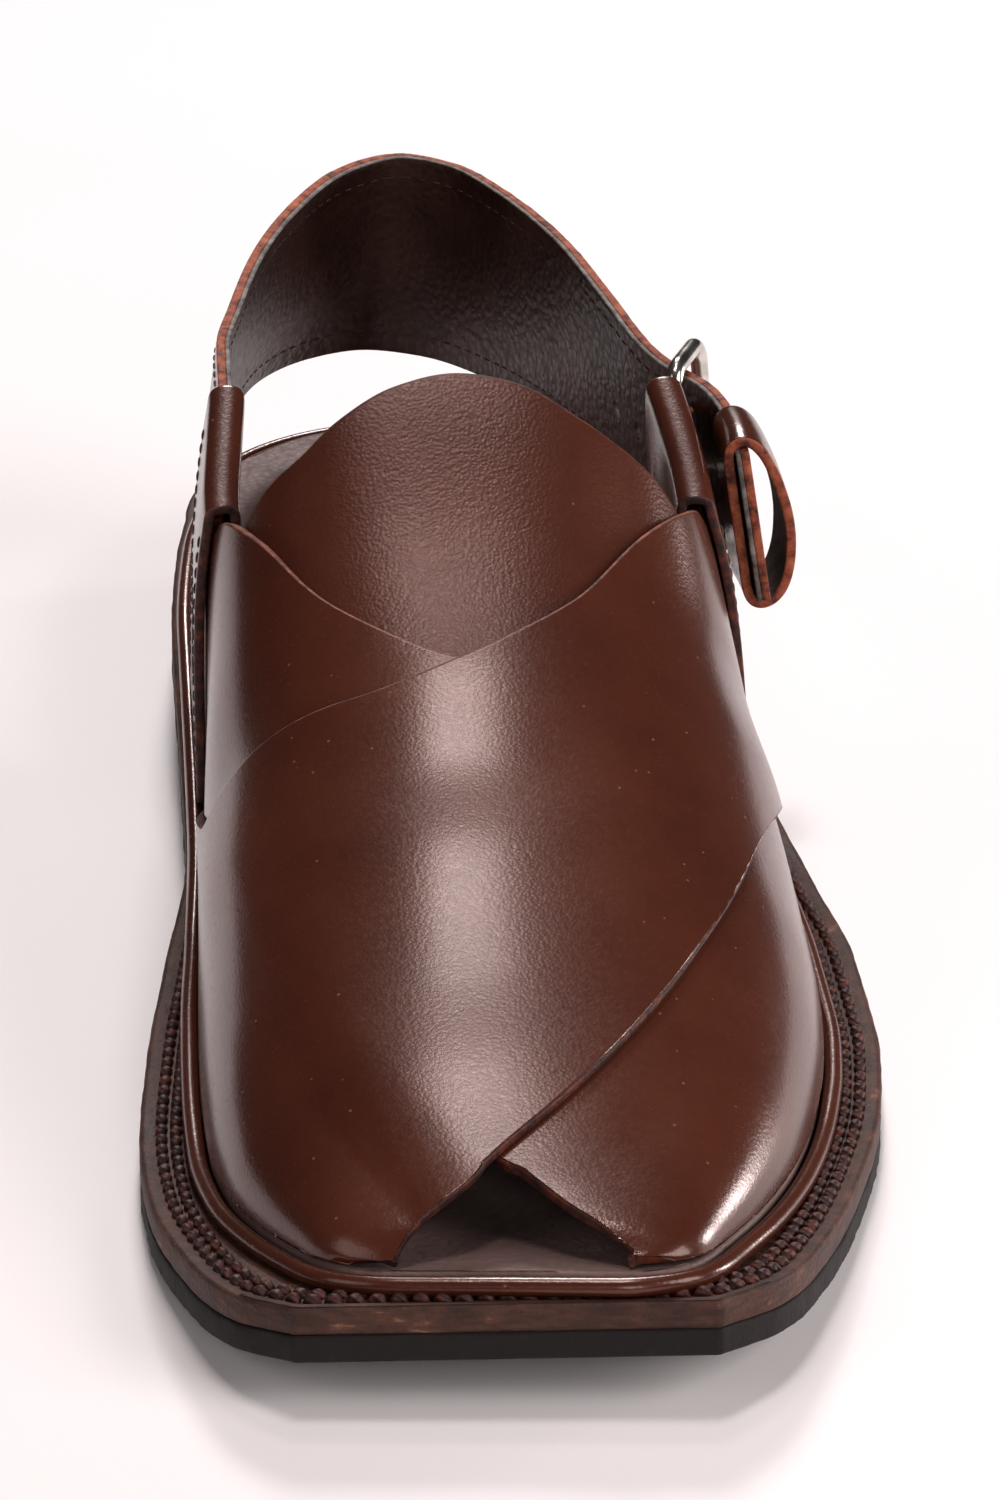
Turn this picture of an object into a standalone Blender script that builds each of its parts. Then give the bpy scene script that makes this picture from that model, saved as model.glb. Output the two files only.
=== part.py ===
"""Peshawari chappal, the left shoe of a pair.

Two wide leather bands cross over the forefoot on a welted leather and rubber sole. A tongue fills
the V behind them, a quarter strap on each side folds over as a loop at the ankle, and a lined heel
strap runs from the medial loop round the heel to a buckle on the lateral side.

Frame: +Z up, the toe towards -Y, the lateral side towards +X. Tables and sizes are in millimetres
and become metres in one place, mesh_object and its like.
"""

import math

import bmesh
import bpy
import numpy as np

MM = 0.001
GAP = 0.3

# Leather and rubber, each with its real thickness.
OUTSOLE_THICK = 3.9
MIDSOLE_THICK = 4.4
INSOLE_THICK = 2.8
BAND_THICK = 2.0
TONGUE_THICK = 2.0
QUARTER_THICK = 1.6
STRAP_THICK = 2.2
BUCKLE_STRAP_THICK = 1.4
KEEPER_THICK = 1.6
RAND_RADIUS = 1.4
BUCKLE_WIRE = 1.2
PRONG_RADIUS = 0.9

# Heights above the underside of the outsole, which follows LIFT.
MIDSOLE_BASE = OUTSOLE_THICK + GAP
LEDGE = MIDSOLE_BASE + MIDSOLE_THICK
RAND_CENTRE = LEDGE + GAP + RAND_RADIUS
INSOLE_BASE = LEDGE + GAP
INSOLE_TOP = INSOLE_BASE + INSOLE_THICK
SEAT = INSOLE_TOP + GAP

# The whole shoe is set so that its box stands centred on the origin.
CENTRE_X = 6.6
CENTRE_Y = -0.4

# Underside of the outsole: y along the foot, lift above the floor.
LIFT = (
    (-149.0, 9.0),
    (-130.0, 4.6),
    (-110.0, 1.7),
    (-88.0, 0.0),
    (-32.0, 0.0),
    (0.0, 2.4),
    (25.0, 5.8),
    (50.0, 9.8),
    (75.0, 13.2),
    (100.0, 15.0),
    (125.0, 15.9),
    (148.0, 16.6),
)

# Sole edge and feather line: y along the foot, x from the long axis. Each starts at its toe corner
# and ends where the heel's arc begins.
SOLE_MEDIAL = (
    (-144.0, -29.7),
    (-136.5, -37.6),
    (-121.0, -43.9),
    (-101.0, -48.2),
    (-85.0, -49.1),
    (-58.0, -47.5),
    (-28.0, -44.1),
    (5.0, -39.9),
    (35.0, -40.0),
    (65.0, -40.3),
    (95.0, -38.8),
    (112.0, -36.6),
)
SOLE_LATERAL = (
    (-148.5, 27.5),
    (-140.0, 36.9),
    (-124.0, 45.3),
    (-103.0, 53.0),
    (-79.0, 59.4),
    (-57.0, 61.8),
    (-34.0, 61.9),
    (-12.0, 58.9),
    (12.0, 55.0),
    (50.0, 49.2),
    (80.0, 44.2),
    (112.0, 40.4),
)
FEATHER_MEDIAL = (
    (-140.0, -17.5),
    (-138.4, -22.0),
    (-134.8, -26.4),
    (-128.5, -30.3),
    (-120.5, -34.4),
    (-108.0, -38.8),
    (-92.0, -41.0),
    (-75.0, -41.4),
    (-52.0, -41.0),
    (-25.0, -39.6),
    (5.0, -38.2),
    (35.0, -38.0),
    (65.0, -38.0),
    (95.0, -36.2),
    (112.0, -33.2),
)
FEATHER_LATERAL = (
    (-145.3, 16.5),
    (-144.4, 21.4),
    (-142.6, 24.8),
    (-139.4, 27.8),
    (-132.4, 31.8),
    (-121.8, 37.8),
    (-106.5, 44.6),
    (-94.8, 48.4),
    (-84.9, 50.9),
    (-74.0, 53.0),
    (-58.0, 54.5),
    (-35.0, 54.6),
    (-10.0, 52.9),
    (12.0, 51.4),
    (50.0, 46.2),
    (80.0, 40.8),
    (112.0, 37.0),
)
HEEL_START = 112.0
SOLE_HEEL_END = 147.5
FEATHER_HEEL_END = 144.0

# Sections of the last: how far behind the toe's seat line, ridge height above the seat, where the
# ridge lies from the medial side (0) to the lateral (1), then each side's fullness and lean.
SECTIONS = (
    # back, height, ridge, medial fullness, medial lean, lateral fullness, lateral lean
    (0.0, 0.0, 0.46, 2.6, 0.02, 2.6, 0.02),
    (3.5, 4.2, 0.46, 2.6, 0.02, 2.6, 0.02),
    (8.0, 6.8, 0.45, 2.6, 0.02, 2.6, 0.02),
    (16.0, 10.6, 0.44, 2.5, 0.03, 2.5, 0.03),
    (33.0, 18.0, 0.43, 2.5, 0.04, 2.4, 0.04),
    (58.0, 27.5, 0.43, 2.5, 0.05, 2.3, 0.05),
    (83.0, 36.0, 0.43, 2.6, 0.05, 2.3, 0.06),
    (107.0, 45.5, 0.44, 2.7, 0.05, 2.4, 0.08),
    (129.0, 57.0, 0.45, 3.3, 0.02, 2.8, 0.10),
    (151.0, 71.5, 0.46, 4.0, 0.00, 3.4, 0.10),
    (169.0, 81.5, 0.46, 3.4, 0.03, 3.4, 0.10),
    (182.0, 87.0, 0.46, 3.0, 0.05, 3.4, 0.10),
    (200.0, 94.0, 0.46, 3.0, 0.05, 3.4, 0.10),
)

# The seat lies this far inside the feather line, a little more where the quarter straps stand.
SEAT_INSET = 3.4
QUARTER_ROOM = 0.9
ROOM_START = -12.0
ROOM_END = 10.0

# Band edges on the last: y of the section, and the share of its girth from the medial seat (0).
VAMP_REAR = 21.0
OVER_FRONT = (
    (-138.8, 0.09),
    (-135.9, 0.24),
    (-129.5, 0.43),
    (-124.4, 0.494),
    (-115.4, 0.594),
    (-106.4, 0.656),
    (-96.1, 0.70),
    (-73.0, 0.763),
    (-50.0, 0.81),
    (-20.0, 0.90),
    (4.0, 1.0),
)
OVER_REAR = (
    (10.0, 0.0),
    (-18.0, 0.09),
    (-31.0, 0.14),
    (-35.0, 0.22),
    (-37.0, 0.36),
    (-32.0, 0.469),
    (-20.4, 0.588),
    (-4.9, 0.663),
    (4.0, 0.708),
    (8.5, 0.732),
    (12.0, 0.762),
    (21.0, 0.772),
)
UNDER_FRONT = (
    (4.0, 0.0),
    (-20.0, 0.10),
    (-50.0, 0.19),
    (-73.0, 0.237),
    (-96.0, 0.30),
    (-106.4, 0.344),
    (-115.0, 0.40),
    (-125.0, 0.487),
    (-128.2, 0.55),
    (-133.4, 0.65),
    (-136.2, 0.76),
    (-138.8, 0.90),
)
UNDER_REAR = (
    (21.0, 0.228),
    (12.0, 0.238),
    (8.5, 0.262),
    (-2.4, 0.306),
    (-19.0, 0.362),
    (-30.6, 0.469),
    (-33.5, 0.60),
    (-30.0, 0.80),
    (-16.0, 1.0),
)
GIRTH = 120.0
BAND_ROWS = 25
BAND_STEP = 1.5
SEAT_STEP = 0.5
SEAT_STEP_SHARE = 0.12
SINK_START = 2.0
SINK_LENGTH = 20.0

# Tongue: y of its domed rear edge against the share of girth; its front end is under the bands.
TONGUE_FRONT = -62.0
TONGUE_UNDER = 0.55
TONGUE_EDGE = (
    (0.23, 5.2),
    (0.30, 4.8),
    (0.35, 4.4),
    (0.40, 7.6),
    (0.45, 11.4),
    (0.50, 13.2),
    (0.55, 11.8),
    (0.60, 8.2),
    (0.65, 6.6),
    (0.70, 6.8),
    (0.77, 6.8),
)

# Quarter straps: they stand from QUARTER_FRONT to a rear edge that flares towards the sole.
QUARTER_FRONT = 11.0
QUARTER_REAR_TOP = 40.0
QUARTER_REAR_FOOT = 48.0
LOOP_RIDGE = ((11.0, 67.2), (40.0, 76.4))
INNER_LEG = 26.0
QUARTER_CLEAR = 0.35
INNER_CLEAR = 0.45
LOOP_RADIUS = 3.2
STRAP_START = 22.5

# Heel block: where its breast stands, and how far its foot is drawn in.
HEEL_BREAST = 72.0
HEEL_TAPER = 1.4

# Heel strap's middle surface behind the medial loop, round the heel to its tail: both edges.
HEEL_STRAP = (
    # top x, y, z, bottom x, y, z
    (-30.6, 60.0, 76.0, -34.7, 61.0, 47.4),
    (-28.2, 74.0, 77.0, -33.4, 76.0, 46.8),
    (-23.2, 98.0, 77.9, -30.4, 101.0, 45.0),
    (-15.6, 120.5, 78.5, -24.8, 125.5, 43.2),
    (-6.0, 138.0, 78.8, -14.5, 140.6, 42.2),
    (3.4, 143.8, 79.0, -4.0, 145.2, 42.0),
    (12.2, 139.0, 78.8, 7.0, 140.6, 42.2),
    (20.0, 125.5, 78.4, 18.5, 126.0, 43.0),
    (28.3, 103.0, 77.7, 28.5, 103.0, 44.8),
    (34.6, 79.5, 76.4, 36.8, 80.0, 46.2),
    (37.4, 68.0, 75.0, 40.4, 68.0, 45.8),
    (39.0, 62.0, 74.2, 42.1, 62.0, 45.6),
    (43.2, 55.0, 73.4, 46.3, 55.0, 45.4),
    (47.4, 49.0, 73.0, 50.4, 49.0, 45.4),
    (48.6, 43.5, 72.9, 51.8, 43.5, 45.4),
    (49.5, 34.0, 72.6, 53.0, 34.0, 45.4),
    (49.9, 26.0, 71.8, 53.6, 26.0, 45.4),
    (49.9, 19.0, 70.6, 53.9, 19.0, 45.2),
)
STRAP_HEIGHTS = (24.6, 27.0)

# Buckle: a bent wire frame that stands on the outside of the ankle and leans in at its top. The
# buckle strap holds its front bar; the heel strap goes outside that bar and inside the rear one.
BUCKLE_CENTRE = (44.5, 55.0, 58.3)
BUCKLE_LEAN = 5.3
BUCKLE_HALF_LENGTH = 7.5
BUCKLE_HALF_HEIGHT = 17.6
BUCKLE_CORNER = 3.5
BUCKLE_STRAP_HEIGHT = 22.0
BUCKLE_STRAP_CLEAR = 43.5
BUCKLE_STRAP_TURN = 285.0
PRONG_SLOT = 4.6
PRONG_TIP = 2.4
PRONG_HOLE = ((47.0, 58.5), 2.7)

# Keeper: a leather ring round the tail; distance out from the tail, share of the height round it.
KEEPER_FRONT = 20.5
KEEPER_REAR = 33.0
KEEPER_OVER = 1.6
KEEPER = (
    (-2.3, 0.07),
    (-2.3, 0.50),
    (-2.3, 0.93),
    (-1.7, 0.98),
    (-0.2, 1.0),
    (1.6, 0.985),
    (3.4, 0.90),
    (5.0, 0.73),
    (5.9, 0.55),
    (6.0, 0.40),
    (5.2, 0.22),
    (3.6, 0.08),
    (1.4, 0.01),
    (-0.6, 0.0),
    (-1.8, 0.02),
)


def through(table, at, column=1):
    """The smooth curve through a table's rows that never overshoots them, read at these places."""
    xs = np.array([row[0] for row in table], float)
    ys = np.array([row[column] for row in table], float)
    step = np.diff(xs)
    rise = np.diff(ys) / step
    slope = np.zeros(len(xs))
    same_way = rise[:-1] * rise[1:] > 0
    before = 2 * step[1:] + step[:-1]
    after = step[1:] + 2 * step[:-1]
    with np.errstate(divide="ignore", invalid="ignore"):
        mean = (before + after) / (before / rise[:-1] + after / rise[1:])
    slope[1:-1] = np.where(same_way, mean, 0.0)
    slope[0] = rise[0]
    slope[-1] = rise[-1]
    at = np.clip(np.asarray(at, float), xs[0], xs[-1])
    i = np.clip(np.searchsorted(xs, at, side="right") - 1, 0, len(step) - 1)
    t = (at - xs[i]) / step[i]
    return (
        ys[i] * (1 + 2 * t) * (1 - t) ** 2
        + step[i] * slope[i] * t * (1 - t) ** 2
        + ys[i + 1] * t * t * (3 - 2 * t)
        - step[i] * slope[i + 1] * t * t * (1 - t)
    )


def lift(y):
    return through(LIFT, y)


def edges(medial_table, lateral_table, heel_end, first_y=None, side_steps=26, heel_steps=8):
    """Medial and lateral rows of points from the toe to the back of the heel's arc, toe rows closer."""
    both = []
    half_width = (through(lateral_table, HEEL_START) - through(medial_table, HEEL_START)) / 2
    middle = (through(lateral_table, HEEL_START) + through(medial_table, HEEL_START)) / 2
    for table, side in ((medial_table, -1), (lateral_table, 1)):
        start = table[0][0] if first_y is None else first_y
        t = np.linspace(0, 1, side_steps) ** 1.3
        y = start + (HEEL_START - start) * t
        straight = np.column_stack([through(table, y), y])
        turn = np.linspace(0, math.pi / 2, heel_steps + 1)[1:]
        arc = np.column_stack([
            middle + side * half_width * np.cos(turn),
            HEEL_START + (heel_end - HEEL_START) * np.sin(turn),
        ])
        both.append(np.vstack([straight, arc]))
    return both


def inset(shape, distance):
    """The same rows moved inward by a distance, with the toe's two corners kept sharp."""
    medial, lateral = shape
    across = lateral[0] - medial[0]
    front = np.array([-across[1], across[0]]) / np.hypot(*across)
    moved = []
    for rows, side in ((medial, 1), (lateral, -1)):
        run = np.gradient(rows, axis=0)
        run /= np.linalg.norm(run, axis=1)[:, None]
        inward = np.column_stack([side * run[:, 1], -side * run[:, 0]])
        inward[-1] = (0.0, -1.0)
        by = distance(rows[:, 1]) if callable(distance) else np.full(len(rows), distance)
        new = rows + inward * by[:, None]
        new[0] = rows[0] + np.linalg.solve(np.array([front, inward[0]]), [by[0], by[0]])
        moved.append(new)
    return moved


def loop_of(shape):
    """One closed loop: down the medial side to the heel, and back up the lateral side."""
    medial, lateral = shape
    return np.vstack([medial, lateral[-2::-1]])


def empty(name):
    holder = bpy.data.objects.new(name, None)
    shoe_parts.objects.link(holder)
    return holder


def material(name, colour, roughness, metallic=0.0):
    made = bpy.data.materials.new(name)
    made.use_nodes = True
    shader = made.node_tree.nodes["Principled BSDF"]
    shader.inputs["Base Color"].default_value = (*colour, 1.0)
    shader.inputs["Roughness"].default_value = roughness
    shader.inputs["Metallic"].default_value = metallic
    return made


def place(shape_object, finish, sharp=35.0):
    """Puts a piece in the shoe, with its finish and its round faces smooth."""
    shape_object.data.materials.append(finish)
    shape_object.parent = shoe
    if shape_object.type == "MESH":
        shape_object.data.shade_smooth()
        shape_object.data.set_sharp_from_angle(angle=math.radians(sharp))
    return shape_object


def mesh_object(name, points, faces, collection=None):
    """A mesh from points in millimetres, its faces turned outward."""
    mesh = bpy.data.meshes.new(name)
    shell = bmesh.new()
    verts = [shell.verts.new([value * MM for value in point]) for point in points]
    for face in faces:
        shell.faces.new([verts[i] for i in face])
    bmesh.ops.recalc_face_normals(shell, faces=shell.faces)
    shell.to_mesh(mesh)
    shell.free()
    made = bpy.data.objects.new(name, mesh)
    (collection or shoe_parts).objects.link(made)
    return made


def plate(name, levels, finish):
    """A solid between stacked loops; each level is a pair of rows and the height of its points."""
    points = []
    for shape, height in levels:
        loop = loop_of(shape)
        points.extend(np.column_stack([loop, height(loop[:, 1])]))
    count = len(loop_of(levels[0][0]))
    half = (count + 1) // 2
    faces = []
    for level in range(len(levels) - 1):
        for i in range(count):
            j = (i + 1) % count
            a = level * count
            faces.append((a + i, a + j, a + count + j, a + count + i))
    for base in (0, (len(levels) - 1) * count):
        for i in range(half - 2):
            faces.append((base + i, base + i + 1, base + count - 2 - i, base + count - 1 - i))
        faces.append((base + half - 2, base + half - 1, base + half))
    return place(mesh_object(name, points, faces), finish)


def above(height):
    return lambda y: lift(y) + height


def sole_plate(name, base, thick, finish, bevel=0.5):
    """A layer of the sole: the sole's outline with its upper and lower edges eased."""
    outline = edges(SOLE_MEDIAL, SOLE_LATERAL, SOLE_HEEL_END)
    eased = inset(outline, bevel)
    return plate(name, (
        (eased, above(base)),
        (outline, above(base + bevel)),
        (outline, above(base + thick - bevel)),
        (eased, above(base + thick)),
    ), finish)


def heel_block(finish):
    """The heel: flat on the floor, its top bent to the outsole, its foot drawn in a little."""
    outline = edges(SOLE_MEDIAL, SOLE_LATERAL, SOLE_HEEL_END, HEEL_BREAST, side_steps=7)
    foot = inset(outline, HEEL_TAPER)
    top = inset(outline, 0.3)
    return plate("heel_lift", (
        (inset(foot, 0.6), lambda y: 0.0 * y),
        (foot, lambda y: 0.0 * y + 0.6),
        (top, above(-GAP)),
    ), finish)


def ease(t):
    t = np.clip(t, 0.0, 1.0)
    return t * t * (3 - 2 * t)


def seat_inset(y):
    return SEAT_INSET + QUARTER_ROOM * ease((y - ROOM_START) / (ROOM_END - ROOM_START))


# The seat line: inner face of the bands where they meet the insole, section by section.
SEAT_ROWS = inset(
    edges(FEATHER_MEDIAL, FEATHER_LATERAL, FEATHER_HEEL_END, side_steps=90),
    seat_inset,
)
SEAT_MIDDLE = (SEAT_ROWS[0][:, 1] + SEAT_ROWS[1][:, 1]) / 2
TOE_Y = float(SEAT_MIDDLE[0])


def section(y, samples=49):
    """The last's section at one place along the foot, from the medial seat to the lateral seat."""
    ends = []
    for rows in SEAT_ROWS:
        x = np.interp(y, SEAT_MIDDLE, rows[:, 0])
        own_y = np.interp(y, SEAT_MIDDLE, rows[:, 1])
        ends.append(np.array([x, own_y, SEAT + lift(own_y)]))
    height, ridge, full_m, lean_m, full_l, lean_l = (
        float(through(SECTIONS, y - TOE_Y, column)) for column in range(1, 7)
    )
    centre = ends[0] + (ends[1] - ends[0]) * ridge
    points = []
    for turn in np.linspace(0, math.pi, samples):
        medial = turn < math.pi / 2
        end, full, lean = (ends[0], full_m, lean_m) if medial else (ends[1], full_l, lean_l)
        rise = abs(math.sin(turn)) ** (2 / full)
        out = abs(math.cos(turn)) ** (2 / full) * (1 - lean * rise)
        point = centre + (end - centre) * out
        point[2] += height * rise
        points.append(point)
    return np.array(points)


def on_section(y, share):
    points = section(y)
    length = np.concatenate([[0], np.cumsum(np.linalg.norm(np.diff(points, axis=0), axis=1))])
    share = np.clip(share, 0, 1) * length[-1]
    return np.array([np.interp(share, length, points[:, k]) for k in range(3)])


def outward(y, share, step=0.5):
    """The last's normal: across the section and along the foot, by small steps either way."""
    low = max(share - 0.01, 0.0)
    high = min(share + 0.01, 1.0)
    across = on_section(y, high) - on_section(y, low)
    near = max(y - step, TOE_Y)
    along = on_section(y + step, share) - on_section(near, share)
    normal = np.cross(across, along)
    return normal / np.linalg.norm(normal)


def on_last(y, share, offset=0.0):
    """A point of the last, or one that stands off it by a distance."""
    return on_section(y, share) + outward(y, share) * offset


def along_path(table, fractions):
    """Points along the smooth curve through a table of y and girth share, at fractions of its length."""
    rows = np.array(table, float)
    real = rows * (1.0, GIRTH)
    length = np.concatenate([[0], np.cumsum(np.linalg.norm(np.diff(real, axis=0), axis=1))])
    keyed = np.column_stack([length, rows])
    at = np.asarray(fractions) * length[-1]
    return np.column_stack([through(keyed, at, 1), through(keyed, at, 2)])


def corner_path(points, counts):
    """Straight runs between corner points, each with its own number of steps."""
    path = [np.array(points[0], float)]
    for start, end, steps in zip(points[:-1], points[1:], counts):
        for i in range(1, steps + 1):
            path.append(np.array(start) + (np.array(end) - np.array(start)) * i / steps)
    return np.array(path)


def patch(front, rear, first, last, fractions):
    """A grid filled in between four edges: front and rear run along it, first and last across."""
    k = np.asarray(fractions)[:, None, None]
    t = np.linspace(0, 1, len(first))[None, :, None]
    sides = (1 - t) * front[:, None] + t * rear[:, None] + (1 - k) * first[None] + k * last[None]
    corners = (
        (1 - k) * (1 - t) * front[0]
        + (1 - k) * t * rear[0]
        + k * (1 - t) * front[-1]
        + k * t * rear[-1]
    )
    return sides - corners


def grid_object(name, grid, collection=None, closed=False, turned=False):
    """An open sheet, or with closed a ring, from a grid of points in millimetres."""
    rows, columns = len(grid), len(grid[0])
    mesh = bpy.data.meshes.new(name)
    faces = []
    for i in range(rows - 1):
        for j in range(columns if closed else columns - 1):
            a, b = i * columns + j, i * columns + (j + 1) % columns
            face = (a, b, b + columns, a + columns)
            faces.append(face[::-1] if turned else face)
    points = [tuple(np.asarray(point) * MM) for row in grid for point in row]
    mesh.from_pydata(points, [], faces)
    mesh.shade_smooth()
    made = bpy.data.objects.new(name, mesh)
    made.parent = shoe
    (collection or shoe_parts).objects.link(made)
    return made


def thicken(sheet, thick, offset=-1.0):
    """Gives a sheet its real thickness: behind its faces, or with offset 0 to both sides."""
    solid = sheet.modifiers.new("thickness", "SOLIDIFY")
    solid.thickness = thick * MM
    solid.offset = offset
    solid.use_even_offset = True
    return sheet


def boolean(target, other, operation):
    cut = target.modifiers.new(other.name, "BOOLEAN")
    cut.operation = operation
    cut.solver = "EXACT"
    cut.object = other
    other.hide_render = True
    other.display_type = "WIRE"


def overlap(y, share):
    """Height of the over band on the under band: less at the seat, 0 where it lies on the last."""
    front = np.interp(share, [row[1] for row in UNDER_FRONT], [row[0] for row in UNDER_FRONT])
    rear = np.interp(share, [row[1] for row in UNDER_REAR], [row[0] for row in UNDER_REAR])
    inside = min(y - front, rear - y)
    over_it = float(ease(1 + (inside + SINK_START) / SINK_LENGTH))
    from_seat = min(share, 1 - share) / SEAT_STEP_SHARE
    return over_it * (SEAT_STEP + (BAND_STEP - SEAT_STEP) * float(ease(from_seat)))


def band(name, front, rear, first, last, fractions, stands_off, collection=None):
    """One band of the vamp: a patch of the last between its four edges, with its own height."""
    plan = patch(along_path(front, fractions), along_path(rear, fractions), first, last, fractions)
    grid = [[on_last(y, share, stands_off(y, share)) for y, share in row] for row in plan]
    return thicken(grid_object(name, grid, collection, turned=True), BAND_THICK)


def upper_of(finish):
    """Both bands of the vamp joined where they cross: the under band with the over band on it."""
    toe_rows = np.linspace(0, 1, BAND_ROWS + 1) ** 1.4
    toe_share = OVER_FRONT[0][1]
    over = band(
        "over_band",
        ((TOE_Y, toe_share), *OVER_FRONT[1:]),
        OVER_REAR,
        corner_path(((TOE_Y, toe_share), (TOE_Y, 0.0), OVER_REAR[0]), (2, 13)),
        corner_path((OVER_FRONT[-1], (VAMP_REAR, 1.0), OVER_REAR[-1]), (5, 10)),
        toe_rows,
        lambda y, share: BAND_THICK + overlap(y, share),
        helpers,
    )
    toe_share = UNDER_FRONT[-1][1]
    under = band(
        "upper",
        (*UNDER_FRONT[:-1], (TOE_Y, toe_share)),
        UNDER_REAR,
        corner_path((UNDER_FRONT[0], (VAMP_REAR, 0.0), UNDER_REAR[0]), (5, 10)),
        corner_path(((TOE_Y, toe_share), (TOE_Y, 1.0), UNDER_REAR[-1]), (2, 13)),
        1 - toe_rows[::-1],
        lambda y, share: BAND_THICK,
    )
    boolean(under, over, "UNION")
    return place(under, finish)


def tongue_of(finish):
    """The tongue: one gap under the bands, from under their crossing to its domed edge."""
    grid = []
    shares = np.linspace(TONGUE_EDGE[0][0], TONGUE_EDGE[-1][0], 23)
    keyed = TONGUE_EDGE
    for share in shares:
        rear = float(through(keyed, share))
        row = []
        for y in np.linspace(TONGUE_FRONT, rear, 13):
            row.append(on_last(y, share, -TONGUE_UNDER))
        grid.append(row)
    return place(thicken(grid_object("tongue", grid, turned=True), TONGUE_THICK), finish)


def ridge_at(y):
    return float(np.interp(y, [row[0] for row in LOOP_RIDGE], [row[1] for row in LOOP_RIDGE]))


def at_height(side, y, heights, offset):
    """Points that stand off the last's medial (-1) or lateral (1) side at these heights."""
    shares = np.linspace(0, 0.45, 40)
    shares = shares if side < 0 else 1 - shares
    line = np.array([on_last(y, share, offset) for share in shares])
    return np.array([[np.interp(z, line[:, 2], line[:, k]) for k in range(3)] for z in heights])


def quarter_of(side, finish):
    """A quarter strap: up the outside from the seat, over the ankle as a loop, and down inside."""
    outer = BAND_THICK + QUARTER_CLEAR + QUARTER_THICK
    inner = -INNER_CLEAR - QUARTER_THICK
    grid = []
    for w in np.linspace(0, 1, 7):
        top_y = QUARTER_FRONT + (QUARTER_REAR_TOP - QUARTER_FRONT) * w
        foot_y = QUARTER_FRONT + (QUARTER_REAR_FOOT - QUARTER_FRONT) * w
        shoulder = ridge_at(top_y) - LOOP_RADIUS
        foot = on_last(foot_y, 0.0 if side < 0 else 1.0, outer)
        row = [foot]
        for f in np.linspace(0, 1, 10)[1:]:
            y = foot_y + (top_y - foot_y) * f
            z = foot[2] + (shoulder - foot[2]) * f
            row.extend(at_height(side, y, [z], outer))
        down = at_height(side, top_y, [shoulder - INNER_LEG * t for t in (0, 0.33, 0.67, 1)], inner)
        centre = (row[-1] + down[0]) / 2
        across = (down[0] - row[-1]) / 2
        for turn in np.linspace(0, math.pi, 8)[1:-1]:
            over = np.array([0, 0, LOOP_RADIUS * math.sin(turn)])
            row.append(centre - across * math.cos(turn) + over)
        row.extend(down)
        grid.append(row)
    name = "quarter_medial" if side < 0 else "quarter_lateral"
    return place(thicken(grid_object(name, grid, turned=side > 0), QUARTER_THICK), finish)


def in_loop(side, y, low, thick):
    """Across a strap where it lies in a loop: from under the fold down, one gap from the outer leg."""
    top = ridge_at(y) - LOOP_RADIUS
    offset = BAND_THICK + QUARTER_CLEAR - GAP - thick / 2
    return at_height(side, y, np.linspace(top, top - low, 4), offset)


def strap_between(name, stations, rows, thick, finish):
    """A strap through stations of points across it, with rows spaced evenly along it."""
    stations = np.array(stations)
    middle = stations.mean(axis=1)
    length = np.concatenate([[0], np.cumsum(np.linalg.norm(np.diff(middle, axis=0), axis=1))])
    keyed = np.column_stack([length, stations.reshape(len(stations), -1)])
    grid = []
    for at in np.linspace(0, length[-1], rows):
        flat = [float(through(keyed, at, column)) for column in range(1, keyed.shape[1])]
        grid.append(np.array(flat).reshape(-1, 3))
    return place(thicken(grid_object(name, grid), thick, 0.0), finish)


def heel_strap_of(finish):
    """The heel strap from inside the medial loop round the heel to its tail outside the lateral loop."""
    ys = np.linspace(STRAP_START, QUARTER_REAR_TOP + 2, 4)
    tall = np.linspace(*STRAP_HEIGHTS, 4)
    stations = [in_loop(-1, y, h, STRAP_THICK) for y, h in zip(ys, tall)]
    for row in HEEL_STRAP:
        top, bottom = np.array(row[:3]), np.array(row[3:])
        stations.append([top + (bottom - top) * t for t in (0, 1 / 3, 2 / 3, 1)])
    strap = strap_between("heel_strap", stations, 46, STRAP_THICK, finish)
    (front, rear), tall = PRONG_HOLE
    hole = block("prong_hole", (0, (front + rear) / 2 - BUCKLE_CENTRE[1], 0), (16, rear - front, tall))
    boolean(strap, hole, "DIFFERENCE")
    return strap


def at_buckle(out, along, up):
    """A point in the buckle's own frame: out from the ankle, back along it, and up."""
    lean = math.radians(BUCKLE_LEAN)
    return np.array(BUCKLE_CENTRE) + np.array([
        out * math.cos(lean) - up * math.sin(lean),
        along,
        out * math.sin(lean) + up * math.cos(lean),
    ])


def block(name, centre, size):
    """A cutting block in the buckle's frame."""
    corners = []
    for out in (-0.5, 0.5):
        for along in (-0.5, 0.5):
            for up in (-0.5, 0.5):
                corners.append(at_buckle(*(np.array(centre) + np.array(size) * (out, along, up))))
    faces = ((0, 1, 3, 2), (4, 6, 7, 5), (0, 4, 5, 1), (2, 3, 7, 6), (0, 2, 6, 4), (1, 5, 7, 3))
    made = mesh_object(name, corners, faces, helpers)
    made.parent = shoe
    return made


def buckle_frame_of(finish):
    points = []
    half_y = BUCKLE_HALF_LENGTH - BUCKLE_CORNER
    half_z = BUCKLE_HALF_HEIGHT - BUCKLE_CORNER
    for k, (along, up) in enumerate(((1, 1), (-1, 1), (-1, -1), (1, -1))):
        for turn in np.radians(np.linspace(0, 90, 5) + 90 * k):
            y = along * half_y + BUCKLE_CORNER * math.cos(turn)
            z = up * half_z + BUCKLE_CORNER * math.sin(turn)
            points.append(at_buckle(0, y, z))
    return wire("buckle_frame", points, BUCKLE_WIRE, finish, closed=True)


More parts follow.
